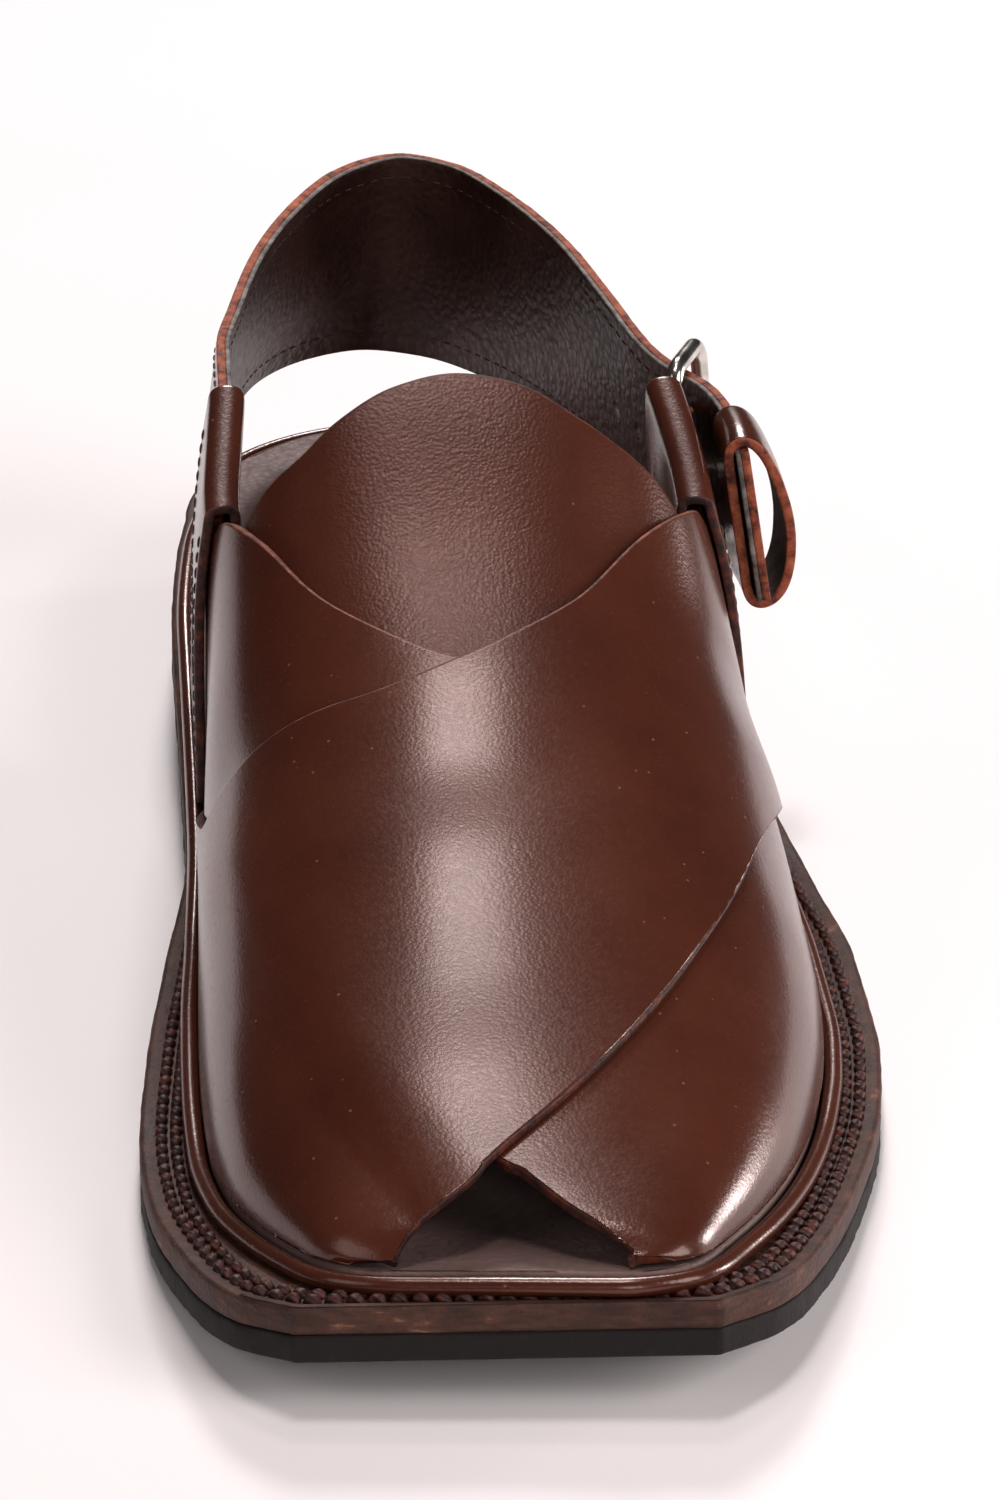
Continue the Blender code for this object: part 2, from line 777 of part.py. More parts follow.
def buckle_strap_of(finish):
    """The short strap that goes from inside the lateral loop round the buckle's front bar."""
    thick = BUCKLE_STRAP_THICK
    height = BUCKLE_STRAP_HEIGHT
    ys = np.linspace(STRAP_START, BUCKLE_STRAP_CLEAR, 5)
    stations = [in_loop(1, y, height, thick) for y in ys]
    around = BUCKLE_WIRE + GAP + thick / 2
    ups = np.linspace(0.5, -0.5, 4) * height
    for turn in np.radians(np.linspace(0, BUCKLE_STRAP_TURN, 12)):
        out = -around * math.cos(turn)
        along = -BUCKLE_HALF_LENGTH + around * math.sin(turn)
        stations.append([at_buckle(out, along, up) for up in ups])
    strap = strap_between("buckle_strap", stations, 34, thick, finish)
    slot = block("prong_slot", (0, -BUCKLE_HALF_LENGTH + 2, 0), (12, 10, PRONG_SLOT))
    boolean(strap, slot, "DIFFERENCE")
    return strap


def buckle_prong_of(finish):
    """The prong: a ring round the front bar, then over the heel strap to the rear bar."""
    around = BUCKLE_WIRE + GAP + PRONG_RADIUS
    points = []
    for turn in np.radians(np.linspace(-150, 80, 10)):
        points.append(at_buckle(around * math.sin(turn), -BUCKLE_HALF_LENGTH - around * math.cos(turn), 0))
    points.append(at_buckle(around, 0.0, 0))
    points.append(at_buckle(around, BUCKLE_HALF_LENGTH + PRONG_TIP, 0))
    return wire("buckle_prong", points, PRONG_RADIUS, finish)


def keeper_of(finish):
    """The keeper: a leather ring round the tail that bulges outward."""
    rows = sorted((row[1], *row) for row in HEEL_STRAP[-6:])
    grid = []
    for y in np.linspace(KEEPER_FRONT, KEEPER_REAR, 4):
        top = np.array([through(rows, y, column) for column in (1, 2, 3)])
        bottom = np.array([through(rows, y, column) for column in (4, 5, 6)])
        up = (top - bottom) / np.linalg.norm(top - bottom)
        out = np.array([up[2], 0.0, -up[0]])
        low, high = bottom - up * KEEPER_OVER, top + up * KEEPER_OVER
        grid.append([low + (high - low) * share + out * apart for apart, share in KEEPER])
    return place(thicken(grid_object("keeper", grid, closed=True), KEEPER_THICK, 0.0), finish)


def wire(name, points, radius, finish, closed=False, sides=1):
    """A round cord or wire along points."""
    curve = bpy.data.curves.new(name, "CURVE")
    curve.dimensions = "3D"
    curve.bevel_depth = radius * MM
    curve.bevel_resolution = sides
    curve.use_fill_caps = not closed
    spline = curve.splines.new("POLY")
    spline.points.add(len(points) - 1)
    for place_of, point in zip(spline.points, points):
        place_of.co = (*(value * MM for value in point), 1.0)
    spline.use_cyclic_u = closed
    made = bpy.data.objects.new(name, curve)
    shoe_parts.objects.link(made)
    return place(made, finish)


def rand_of(finish):
    """The raised bead on the ledge, along the feather line."""
    loop = loop_of(edges(FEATHER_MEDIAL, FEATHER_LATERAL, FEATHER_HEEL_END))
    points = [(x, y, lift(y) + RAND_CENTRE) for x, y in loop]
    return wire("rand", points, RAND_RADIUS, finish, closed=True)


def insole_of(finish):
    feather = edges(FEATHER_MEDIAL, FEATHER_LATERAL, FEATHER_HEEL_END)
    outline = inset(feather, RAND_RADIUS + GAP)
    return plate("insole", (
        (outline, above(INSOLE_BASE)),
        (outline, above(INSOLE_TOP)),
    ), finish)


for old in list(bpy.data.objects):
    bpy.data.objects.remove(old, do_unlink=True)
shoe_parts = bpy.data.collections.new("peshawari_chappal")
helpers = bpy.data.collections.new("helpers")
bpy.context.scene.collection.children.link(shoe_parts)
bpy.context.scene.collection.children.link(helpers)
shoe = empty("shoe")
shoe.location = (-CENTRE_X * MM, -CENTRE_Y * MM, 0.0)

LEATHER = material("polished brown leather", (0.085, 0.024, 0.016), 0.3)
EDGE_LEATHER = material("edge-dyed sole leather", (0.05, 0.022, 0.016), 0.6)
LINING = material("dark lining leather", (0.02, 0.016, 0.015), 0.6)
RUBBER = material("black rubber", (0.012, 0.012, 0.012), 0.8)
STEEL = material("polished steel", (0.75, 0.74, 0.72), 0.18, 1.0)

sole_plate("outsole", 0.0, OUTSOLE_THICK, RUBBER)
sole_plate("midsole", MIDSOLE_BASE, MIDSOLE_THICK, EDGE_LEATHER)
heel_block(RUBBER)
rand_of(LEATHER)
insole_of(LINING)
upper_of(LEATHER)
tongue_of(LEATHER)
quarter_of(-1, LEATHER)
quarter_of(1, LEATHER)
heel_strap_of(LEATHER)
buckle_strap_of(LEATHER)
buckle_frame_of(STEEL)
buckle_prong_of(STEEL)
keeper_of(LEATHER)
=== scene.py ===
import math

import bmesh
import bpy
import numpy as np
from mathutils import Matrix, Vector


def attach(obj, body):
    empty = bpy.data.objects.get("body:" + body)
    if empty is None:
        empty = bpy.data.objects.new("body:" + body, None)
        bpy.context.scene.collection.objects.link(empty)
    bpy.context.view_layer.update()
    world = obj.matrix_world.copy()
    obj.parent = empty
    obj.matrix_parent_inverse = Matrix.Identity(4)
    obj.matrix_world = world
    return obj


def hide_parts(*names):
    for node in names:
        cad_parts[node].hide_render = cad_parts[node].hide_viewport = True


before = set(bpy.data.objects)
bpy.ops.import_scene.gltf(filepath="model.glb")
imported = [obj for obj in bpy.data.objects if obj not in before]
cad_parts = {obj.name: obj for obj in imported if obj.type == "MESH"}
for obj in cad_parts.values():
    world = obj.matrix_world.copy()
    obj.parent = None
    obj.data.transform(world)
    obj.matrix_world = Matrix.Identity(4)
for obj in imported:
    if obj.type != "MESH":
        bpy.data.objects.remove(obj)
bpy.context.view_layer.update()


# ---- Camera, floor and light ----
# The camera stands in front of the toe, a little above it. The floor is plain matt paper. One soft
# box stands to the right of the toe and one high behind the heel, and weaker ones round the shoe
# and overhead draw the broad lights that polished leather shows.

MM = 0.001
CAMERA_PLACE = (-0.05775, -0.74435, 0.38251)
CAMERA_AIM = (0.0016, -0.0200, 0.0390)
CAMERA_LENS = 126.0
CAMERA_FILM = 36.0
FLOOR_SIZE = 8.0
FLOOR_COLOUR = "#f7f3f4"
FLOOR_SHADE = "#f1edee"
FLOOR_CLOUD = 333.0
LIGHT_AIM = (0.0, -0.02, 0.03)
# Soft boxes: name, place in metres, width, length, power in watts, colour.
SOFT_BOXES = (
    ("key_box", (1.10, -0.70, 0.80), 0.80, 0.80, 12.6, "#fff8f6"),
    ("back_box", (0.10, 1.45, 1.30), 0.40, 0.40, 20.0, "#fffafa"),
    ("left_box", (-1.25, -0.75, 1.00), 0.90, 0.90, 4.0, "#fff8f6"),
    ("front_box", (0.10, -1.35, 0.60), 0.50, 0.50, 3.6, "#fff8f6"),
    ("top_box", (-0.02, 0.00, 1.15), 0.20, 0.12, 4.0, "#fff6f4"),
    ("second_top_box", (0.03, 0.36, 1.10), 0.14, 0.12, 1.3, "#fff6f4"),
    ("right_box", (1.20, 0.40, 0.16), 0.20, 0.30, 6.0, "#fff6f4"),
)
WORLD_COLOUR = "#f4f2f3"
WORLD_STRENGTH = 0.04


def linear(code):
    """An sRGB hex colour in linear values."""
    parts = [int(code[i:i + 2], 16) / 255 for i in (1, 3, 5)]
    return (*(c / 12.92 if c < 0.04045 else ((c + 0.055) / 1.055) ** 2.4 for c in parts), 1.0)


def marks(size):
    """A pattern's scale, from the real size of one of its marks in millimetres."""
    return 1 / (size * MM)


def link(finish, target, sources):
    """Links a node's sockets from the outputs that feed them."""
    for socket, source in sources.items():
        finish.node_tree.links.new(source, target.inputs[socket])


def node(finish, kind, values=None, links=None, stops=None, **settings):
    """Adds one node: its settings, its sockets' values and links, and a colour ramp's stops, each
    a place and a hex colour."""
    made = finish.node_tree.nodes.new("ShaderNode" + kind)
    for name, value in settings.items():
        setattr(made, name, value)
    for socket, value in (values or {}).items():
        made.inputs[socket].default_value = value
    link(finish, made, links or {})
    if stops:
        elements = made.color_ramp.elements
        while len(elements) < len(stops):
            elements.new(0.5)
        for element, (place, colour) in zip(elements, stops):
            element.position = place
            element.color = linear(colour)
    return made


def finish_of(name, **values):
    """A new material with the shader's own numbers, and the shader node."""
    made = bpy.data.materials.new(name)
    made.use_nodes = True
    shader = made.node_tree.nodes["Principled BSDF"]
    for socket, value in values.items():
        shader.inputs[socket.replace("_", " ")].default_value = value
    return made, shader


def matt_paper():
    """Matt paper: nearly no gloss, and a faint unevenness."""
    finish, shader = finish_of("matt_paper", Roughness=0.9, IOR=1.5)
    place = node(finish, "TexCoord").outputs["Object"]
    cloud = node(finish, "TexNoise", {"Scale": marks(FLOOR_CLOUD), "Detail": 3.0}, {"Vector": place})
    colour = node(finish, "ValToRGB", links={"Fac": cloud.outputs["Fac"]},
                  stops=((0.3, FLOOR_SHADE), (0.7, FLOOR_COLOUR)))
    link(finish, shader, {"Base Color": colour.outputs["Color"]})
    return finish


def floor_sheet():
    sheet = bmesh.new()
    bmesh.ops.create_grid(sheet, x_segments=8, y_segments=8, size=FLOOR_SIZE / 2)
    mesh = bpy.data.meshes.new("floor")
    sheet.to_mesh(mesh)
    sheet.free()
    mesh.materials.append(matt_paper())
    made = bpy.data.objects.new("floor", mesh)
    bpy.context.scene.collection.objects.link(made)


def stand(name, thing, place, aim):
    """Puts a camera or a light in the scene, turned towards its aim."""
    made = bpy.data.objects.new(name, thing)
    made.location = place
    made.rotation_euler = (Vector(aim) - Vector(place)).to_track_quat("-Z", "Y").to_euler()
    bpy.context.scene.collection.objects.link(made)
    return made


def soft_box(name, place, width, length, power, colour):
    light = bpy.data.lights.new(name, "AREA")
    light.shape = "RECTANGLE"
    light.size = width
    light.size_y = length
    light.energy = power
    light.color = linear(colour)[:3]
    stand(name, light, place, LIGHT_AIM)


def camera():
    view = bpy.data.cameras.new("camera")
    view.sensor_fit = "VERTICAL"
    view.sensor_height = CAMERA_FILM
    view.lens = CAMERA_LENS
    view.clip_start = 0.01
    bpy.context.scene.camera = stand("camera", view, CAMERA_PLACE, CAMERA_AIM)


def soft_room():
    """The room's own faint light, and plain colours in the render."""
    world = bpy.data.worlds.new("soft_room")
    world.use_nodes = True
    air = world.node_tree.nodes["Background"]
    air.inputs["Color"].default_value = linear(WORLD_COLOUR)
    air.inputs["Strength"].default_value = WORLD_STRENGTH
    bpy.context.scene.world = world
    bpy.context.scene.view_settings.view_transform = "Standard"


camera()
floor_sheet()
for box in SOFT_BOXES:
    soft_box(*box)
soft_room()


# ---- Outsole ----
# A sheet of black rubber glued under the midsole. Its edge was cut with a knife and ground, so it
# is matt and a little ragged. Underneath it is moulded with fine wavy ribs.

# Sizes and places are in millimetres from here on, x across the foot and y along it. CENTRE is the
# middle of the frame in them. Glued or sewn pieces stand a GAP apart.
GAP = 0.3
CENTRE = (6.6, -0.4, 0.0)
OUTSOLE_THICK = 3.9
# Underside of the outsole: y along the foot, lift above the floor.
LIFT = (
    (-149.0, 9.0), (-130.0, 4.6), (-110.0, 1.7), (-88.0, 0.0), (-32.0, 0.0), (0.0, 2.4),
    (25.0, 5.8), (50.0, 9.8), (75.0, 13.2), (100.0, 15.0), (125.0, 15.9), (148.0, 16.6),
)
# Edge of the sole: y along the foot, x from the long axis.
SOLE_MEDIAL = (
    (-144.0, -29.7), (-136.5, -37.6), (-121.0, -43.9), (-101.0, -48.2), (-85.0, -49.1),
    (-58.0, -47.5), (-28.0, -44.1), (5.0, -39.9), (35.0, -40.0), (65.0, -40.3), (95.0, -38.8),
    (112.0, -36.6),
)
SOLE_LATERAL = (
    (-148.5, 27.5), (-140.0, 36.9), (-124.0, 45.3), (-103.0, 53.0), (-79.0, 59.4),
    (-57.0, 61.8), (-34.0, 61.9), (-12.0, 58.9), (12.0, 55.0), (50.0, 49.2), (80.0, 44.2),
    (112.0, 40.4),
)
HEEL_START = 112.0
SOLE_HEEL_END = 147.5
# Grid of the sole: distances of its columns from each edge, columns between them, rows up to the
# heel's arc and along it, and how much closer they lie at the toe.
SOLE_COLUMNS = (0.0, 0.9, 1.9, 2.9, 3.9, 4.9, 5.9, 7.0, 8.4, 10.4)
MIDDLE_COLUMNS = 13
SOLE_ROWS = 300
ARC_ROWS = 40
TOE_CROWDING = 1.15
TREAD_DEPTH = 0.7
TREAD_PITCH = 4.2
TREAD_BORDER = 7.0
TREAD_START = -136.0
TREAD_END = -10.0
# Each rib waves by this much, with this length from side to side divided by a full turn.
TREAD_WAVE = 3.0
TREAD_WAVE_LENGTH = 9.0
TREAD_RUN_OUT = 2.0
# The groove's wall lies between these values of the wave, which runs from -1 to 1.
GROOVE_FROM = -0.1
GROOVE_TO = 0.6
OUTSOLE_CORNER = 0.5
OUTSOLE_ROUGH = 0.07
RUBBER_COLOURS = ("#0d0907", "#17100e", "#2c201b")
RUBBER_SCUFF = 3.85
RUBBER_GRIT = 0.9
RUBBER_RELIEF = 0.3


def through(table, at, column=1):
    """The smooth curve through a table's rows that never overshoots them, read at these places."""
    xs = np.array([row[0] for row in table], float)
    ys = np.array([row[column] for row in table], float)
    step = np.diff(xs)
    rise = np.diff(ys) / step
    slope = np.zeros(len(xs))
    same_way = rise[:-1] * rise[1:] > 0
    before = 2 * step[1:] + step[:-1]
    after = step[1:] + 2 * step[:-1]
    with np.errstate(divide="ignore", invalid="ignore"):
        mean = (before + after) / (before / rise[:-1] + after / rise[1:])
    slope[1:-1] = np.where(same_way, mean, 0.0)
    slope[0] = rise[0]
    slope[-1] = rise[-1]
    at = np.clip(np.asarray(at, float), xs[0], xs[-1])
    i = np.clip(np.searchsorted(xs, at, side="right") - 1, 0, len(step) - 1)
    t = (at - xs[i]) / step[i]
    return (
        ys[i] * (1 + 2 * t) * (1 - t) ** 2
        + step[i] * slope[i] * t * (1 - t) ** 2
        + ys[i + 1] * t * t * (3 - 2 * t)
        - step[i] * slope[i + 1] * t * t * (1 - t)
    )


def lift(y):
    return through(LIFT, y)


def ease(t):
    t = np.clip(t, 0.0, 1.0)
    return t * t * (3 - 2 * t)


def unit(vectors):
    return vectors / np.maximum(np.linalg.norm(vectors, axis=-1, keepdims=True), 1e-9)


def edges(medial_table, lateral_table, heel_end, rows, first_y=None):
    """Medial and lateral rows of points from the toe nearly to the back of the heel's arc."""
    both = []
    ends = through(medial_table, HEEL_START), through(lateral_table, HEEL_START)
    half_width = (ends[1] - ends[0]) / 2
    middle = (ends[1] + ends[0]) / 2
    for table, side in ((medial_table, -1), (lateral_table, 1)):
        start = table[0][0] if first_y is None else first_y
        y = start + (HEEL_START - start) * np.linspace(0, 1, rows) ** TOE_CROWDING
        straight = np.column_stack([through(table, y), y])
        turn = np.linspace(0, math.pi / 2, ARC_ROWS + 1)[1:-1]
        arc = np.column_stack([
            middle + side * half_width * np.cos(turn),
            HEEL_START + (heel_end - HEEL_START) * np.sin(turn),
        ])
        both.append(np.vstack([straight, arc]))
    return both


def across_sole(shape, columns):
    """A grid of plan points: rows from toe to heel, columns at these distances from each edge, set
    closer where the shape is narrow, and more columns between them."""
    medial, lateral = (np.asarray(rows) for rows in shape)
    width = np.linalg.norm(lateral - medial, axis=1)[:, None]
    near = np.array(columns)[None, :] / np.maximum(width, 2.6 * columns[-1])
    between = np.linspace(0, 1, MIDDLE_COLUMNS + 2)[None, 1:-1]
    middle = near[:, -1:] + (1 - 2 * near[:, -1:]) * between
    share = np.hstack([near, middle, 1 - near[:, ::-1]])[:, :, None]
    return medial[:, None] * (1 - share) + lateral[:, None] * share


def rim_of(rows, columns):
    """The grid's own edge, point by point all the way round, and each point's inner neighbour."""
    ring = [(0, j) for j in range(columns)]
    ring += [(i, columns - 1) for i in range(1, rows)]
    ring += [(rows - 1, j) for j in range(columns - 2, -1, -1)]
    ring += [(i, 0) for i in range(rows - 2, 0, -1)]
    ring = np.array(ring)
    inner = np.column_stack([
        np.clip(ring[:, 0], 1, rows - 2),
        np.clip(ring[:, 1], 1, columns - 2),
    ])
    return ring, inner


def rim_outward(grid, ring, inner):
    """Directions that lead off the grid at its edge, in its own surface."""
    points = grid[ring[:, 0], ring[:, 1]]
    inside = grid[inner[:, 0], inner[:, 1]]
    along = unit(np.roll(points, -1, axis=0) - np.roll(points, 1, axis=0))
    out = points - inside
    out -= along * (out * along).sum(axis=1, keepdims=True)
    out = unit(out)
    for _ in range(2):
        out = unit(np.roll(out, 1, axis=0) + 2 * out + np.roll(out, -1, axis=0))
    return points, out


def mesh_piece(name, points, faces, kinds, finishes):
    """A mesh from points in millimetres, with a finish for each kind of face."""
    mesh = bpy.data.meshes.new(name)
    mesh.from_pydata((np.asarray(points) - CENTRE) * MM, [], [tuple(face) for face in faces])
    for finish in finishes:
        mesh.materials.append(finish)
    mesh.polygons.foreach_set("material_index", np.asarray(kinds, np.int32))
    shell = bmesh.new()
    shell.from_mesh(mesh)
    bmesh.ops.recalc_face_normals(shell, faces=shell.faces)
    shell.to_mesh(mesh)
    shell.free()
    mesh.shade_smooth()
    made = bpy.data.objects.new(name, mesh)
    bpy.context.scene.collection.objects.link(made)
    return made


def quads(rows, columns, closed=False):
    """The faces of a grid of points, closed where its last column meets its first."""
    i, j = np.meshgrid(np.arange(rows - 1), np.arange(columns if closed else columns - 1), indexing="ij")
    a = i * columns + j
    b = i * columns + (j + 1) % columns
    return np.stack([a, b, b + columns, a + columns], axis=-1).reshape(-1, 4)


def slab(name, face, back, finishes, corner, rough=0.0, seed=1, last_from=0.0):
    """A solid between a face and a back, its edges rounded. Finishes: face, cut edge, back, and
    where there is a fourth, the cut edge along the grid's last column, from a share of its rows."""
    face = np.array(face, float)
    back = np.array(back, float)
    rows, columns = face.shape[:2]
    ring, inner = rim_of(rows, columns)
    top, out = rim_outward(face, ring, inner)
    bottom = back[ring[:, 0], ring[:, 1]]
    thick = np.linalg.norm(bottom - top, axis=1, keepdims=True)
    turned = corner / np.maximum(thick, 2.2 * corner)
    face[ring[:, 0], ring[:, 1]] = top - out * corner
    back[ring[:, 0], ring[:, 1]] = bottom - out * corner
    rings = [top - out * corner]
    # Down the edge: how far it is drawn in, in corners, and how far down, in corners from the face,
    # from the back where it is less than 0, or halfway.
    levels = ((0.3, 0.3), (0.0, 1.0), (0.0, None), (0.0, -1.0), (0.3, -0.3))
    wander = np.random.default_rng(seed)
    for back_by, share in levels:
        down = 0.5 if share is None else (turned * share if share > 0 else 1 + turned * share)
        ragged = wander.normal(0.0, 1.0, (len(ring), 1))
        ragged = (ragged + np.roll(ragged, 1, axis=0) + np.roll(ragged, -1, axis=0)) / 2.2
        rings.append(top + (bottom - top) * down + out * (rough * ragged - back_by * corner))
    rings.append(bottom - out * corner)
    count = rows * columns
    size = len(ring)
    points = np.vstack([face.reshape(-1, 3), back.reshape(-1, 3), *rings[1:-1]])
    first = ring[:, 0] * columns + ring[:, 1]
    loops = [first]
    loops += [2 * count + k * size + np.arange(size) for k in range(len(levels))]
    loops.append(first + count)
    sides = []
    for upper_loop, lower_loop in zip(loops[:-1], loops[1:]):
        sides.append(np.column_stack([
            upper_loop, np.roll(upper_loop, -1), np.roll(lower_loop, -1), lower_loop,
        ]))
    grid_faces = quads(rows, columns)
    faces = np.vstack([grid_faces, *sides, grid_faces[:, ::-1] + count])
    last = (ring[:, 1] == columns - 1) & (ring[:, 0] >= last_from * rows) & (len(finishes) > 3)
    kinds = np.concatenate([
        np.zeros(len(grid_faces)), np.tile(np.where(last, 3, 1), len(sides)),
        np.full(len(grid_faces), 2),
    ])
    return mesh_piece(name, points, faces, kinds, finishes)


def from_edge(grid):
    """How far each plan point of a grid is from the grid's own edge."""
    rows, columns = grid.shape[:2]
    ring, _ = rim_of(rows, columns)
    rim = grid[ring[:, 0], ring[:, 1], :2]
    apart = np.linalg.norm(grid[:, :, None, :2] - rim[None, None], axis=3)
    return apart.min(axis=2)


def level(plan, height):
    """A plan grid set at a height above the lifted underside."""
    return np.dstack([plan, lift(plan[:, :, 1]) + height])


def ground_rubber():
    """Black rubber, ground on the edge: matt, greyer where the wheel has scuffed it."""
    finish, shader = finish_of("ground_rubber", IOR=1.52, Specular_IOR_Level=0.3)
    dark, mid, pale = RUBBER_COLOURS
    place = node(finish, "TexCoord").outputs["Object"]
    scuff = node(finish, "TexNoise", {"Scale": marks(RUBBER_SCUFF), "Detail": 6.0, "Roughness": 0.7},
                 {"Vector": place})
    grit = node(finish, "TexNoise", {"Scale": marks(RUBBER_GRIT), "Detail": 3.0}, {"Vector": place})
    colour = node(finish, "ValToRGB", links={"Fac": scuff.outputs["Fac"]},
                  stops=((0.35, dark), (0.58, mid), (0.78, pale)))
    gloss = node(finish, "MapRange", {"To Min": 0.62, "To Max": 0.88}, {"Value": scuff.outputs["Fac"]})
    bump = node(finish, "Bump", {"Strength": 0.5, "Distance": RUBBER_RELIEF * MM},
                {"Height": grit.outputs["Fac"]})
    link(finish, shader, {"Base Color": colour.outputs["Color"], "Roughness": gloss.outputs["Result"],
                          "Normal": bump.outputs["Normal"]})
    return finish


def tread(plan):
    """Depth of the wavy grooves under a sole, none near its edge."""
    x, y = plan[:, :, 0], plan[:, :, 1]
    wave = np.sin((y + TREAD_WAVE * np.sin(x / TREAD_WAVE_LENGTH)) * 2 * math.pi / TREAD_PITCH)
    groove = ease((wave - GROOVE_FROM) / (GROOVE_TO - GROOVE_FROM))
    return TREAD_DEPTH * groove * ease(from_edge(plan) - TREAD_BORDER)


SOLE_SHAPE = edges(SOLE_MEDIAL, SOLE_LATERAL, SOLE_HEEL_END, SOLE_ROWS)
sole_plan = across_sole(SOLE_SHAPE, SOLE_COLUMNS)
RUBBER = ground_rubber()
under = level(sole_plan, 0.0)
behind_start = ease((sole_plan[:, :, 1] - TREAD_START) / TREAD_RUN_OUT)
before_end = ease((TREAD_END - sole_plan[:, :, 1]) / TREAD_RUN_OUT)
under[:, :, 2] += tread(sole_plan) * (behind_start * before_end)
outsole = slab(
    "outsole_rubber", level(sole_plan, OUTSOLE_THICK + GAP), under, (RUBBER, RUBBER, RUBBER),
    OUTSOLE_CORNER, OUTSOLE_ROUGH, seed=3,
)
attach(outsole, "root")
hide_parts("outsole")


# ---- Heel lift ----
# A block of the same black rubber, nailed and glued under the heel. Its foot is drawn in a little,
# and its front, the breast, is cut straight.

HEEL_BREAST = 72.0
HEEL_TOP_INSET = 0.3
HEEL_TAPER = 1.4
HEEL_ROUGH = 0.06
HEEL_ROWS = 60


def inset(shape, distance):
    """The same rows moved inward by a distance, with the toe's two corners kept."""
    medial, lateral = shape
    across = lateral[0] - medial[0]
    front = np.array([-across[1], across[0]]) / np.hypot(*across)
    moved = []
    for rows, side in ((medial, 1), (lateral, -1)):
        run = unit(np.gradient(rows, axis=0))
        inward = np.column_stack([side * run[:, 1], -side * run[:, 0]])
        by = distance(rows[:, 1]) if callable(distance) else np.full(len(rows), distance)
        new = rows + inward * by[:, None]
        new[0] = rows[0] + np.linalg.solve(np.array([front, inward[0]]), [by[0], by[0]])
        moved.append(new)
    return moved


heel_shape = edges(SOLE_MEDIAL, SOLE_LATERAL, SOLE_HEEL_END, HEEL_ROWS, HEEL_BREAST)
heel_top = level(across_sole(inset(heel_shape, HEEL_TOP_INSET), SOLE_COLUMNS), 0.0)
heel_plan = across_sole(inset(heel_shape, HEEL_TAPER), SOLE_COLUMNS)
heel_foot = np.dstack([heel_plan, tread(heel_plan)])
heel_lift = slab(
    "heel_lift_rubber", heel_top, heel_foot, (RUBBER, RUBBER, RUBBER),
    OUTSOLE_CORNER, HEEL_ROUGH, seed=4,
)
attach(heel_lift, "root")
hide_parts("heel_lift")


# ---- Midsole ----
# Vegetable-tanned sole leather, its cut edge dyed brown and rubbed down, so the layers show as fine
# lines and the dye is worn pale in places. Two channels for the welt seam run round its top.

MIDSOLE_THICK = 4.4
MIDSOLE_BASE = OUTSOLE_THICK + GAP
LEDGE = MIDSOLE_BASE + MIDSOLE_THICK
WELT_ROWS = (3.2, 5.3)
CHANNEL_DEPTH = 0.45
CHANNEL_WIDTH = 0.9
SOLE_LEATHER_COLOURS = ("#26130d", "#3b2219", "#503126")
SOLE_LEATHER_WORN = "#96694f"
# Marks of the cut edge, along it, through it and down it: long fibres in thin layers.
SOLE_FIBRE = (3.85, 3.85, 1.11)
SOLE_BLOTCH = 9.1
SOLE_PORE = 0.667
SOLE_RELIEF = 0.35
MIDSOLE_CORNER = 0.7
MIDSOLE_ROUGH = 0.04


def edge_dyed_leather():
    """Dyed sole leather: layers along the edge, pale rubbed places, a dull wax gloss."""
    finish, shader = finish_of("edge_dyed_sole_leather", IOR=1.5, Specular_IOR_Level=0.3)
    dark, mid, pale = SOLE_LEATHER_COLOURS
    place = node(finish, "TexCoord").outputs["Object"]
    layers = node(finish, "Mapping", {"Scale": [marks(size) for size in SOLE_FIBRE]}, {"Vector": place})
    grain = node(finish, "TexNoise", {"Scale": 1.0, "Detail": 4.0, "Roughness": 0.6},
                 {"Vector": layers.outputs["Vector"]})
    blotch = node(finish, "TexNoise", {"Scale": marks(SOLE_BLOTCH), "Detail": 6.0, "Roughness": 0.65},
                  {"Vector": place})
    pores = node(finish, "TexNoise", {"Scale": marks(SOLE_PORE), "Detail": 3.0}, {"Vector": place})
    both = node(finish, "Math", links={0: grain.outputs["Fac"], 1: blotch.outputs["Fac"]})
    half = node(finish, "Math", {1: 0.5}, {0: both.outputs[0]}, operation="MULTIPLY")
    colour = node(finish, "ValToRGB", links={"Fac": half.outputs[0]},
                  stops=((0.34, dark), (0.48, mid), (0.60, pale), (0.70, SOLE_LEATHER_WORN)))
    gloss = node(finish, "MapRange", {"To Min": 0.48, "To Max": 0.75}, {"Value": blotch.outputs["Fac"]})
    rough = node(finish, "Math", links={0: grain.outputs["Fac"], 1: pores.outputs["Fac"]})
    bump = node(finish, "Bump", {"Strength": 0.55, "Distance": SOLE_RELIEF * MM},
                {"Height": rough.outputs[0]})
    link(finish, shader, {"Base Color": colour.outputs["Color"], "Roughness": gloss.outputs["Result"],
                          "Normal": bump.outputs["Normal"]})
    return finish


SOLE_LEATHER = edge_dyed_leather()
edge_distance = from_edge(sole_plan)
welt_face = level(sole_plan, LEDGE)
for row in WELT_ROWS:
    welt_face[:, :, 2] -= CHANNEL_DEPTH * np.exp(-((edge_distance - row) / CHANNEL_WIDTH) ** 2)
midsole = slab(
    "midsole_leather", welt_face, level(sole_plan, MIDSOLE_BASE),
    (SOLE_LEATHER, SOLE_LEATHER, SOLE_LEATHER), MIDSOLE_CORNER, MIDSOLE_ROUGH, seed=5,
)
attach(midsole, "root")
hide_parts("midsole")


# ---- Welt stitches ----
# Two rows of thick waxed thread sewn round the ledge by hand. Each stitch lies in the channel and
# dips into its holes at both ends.

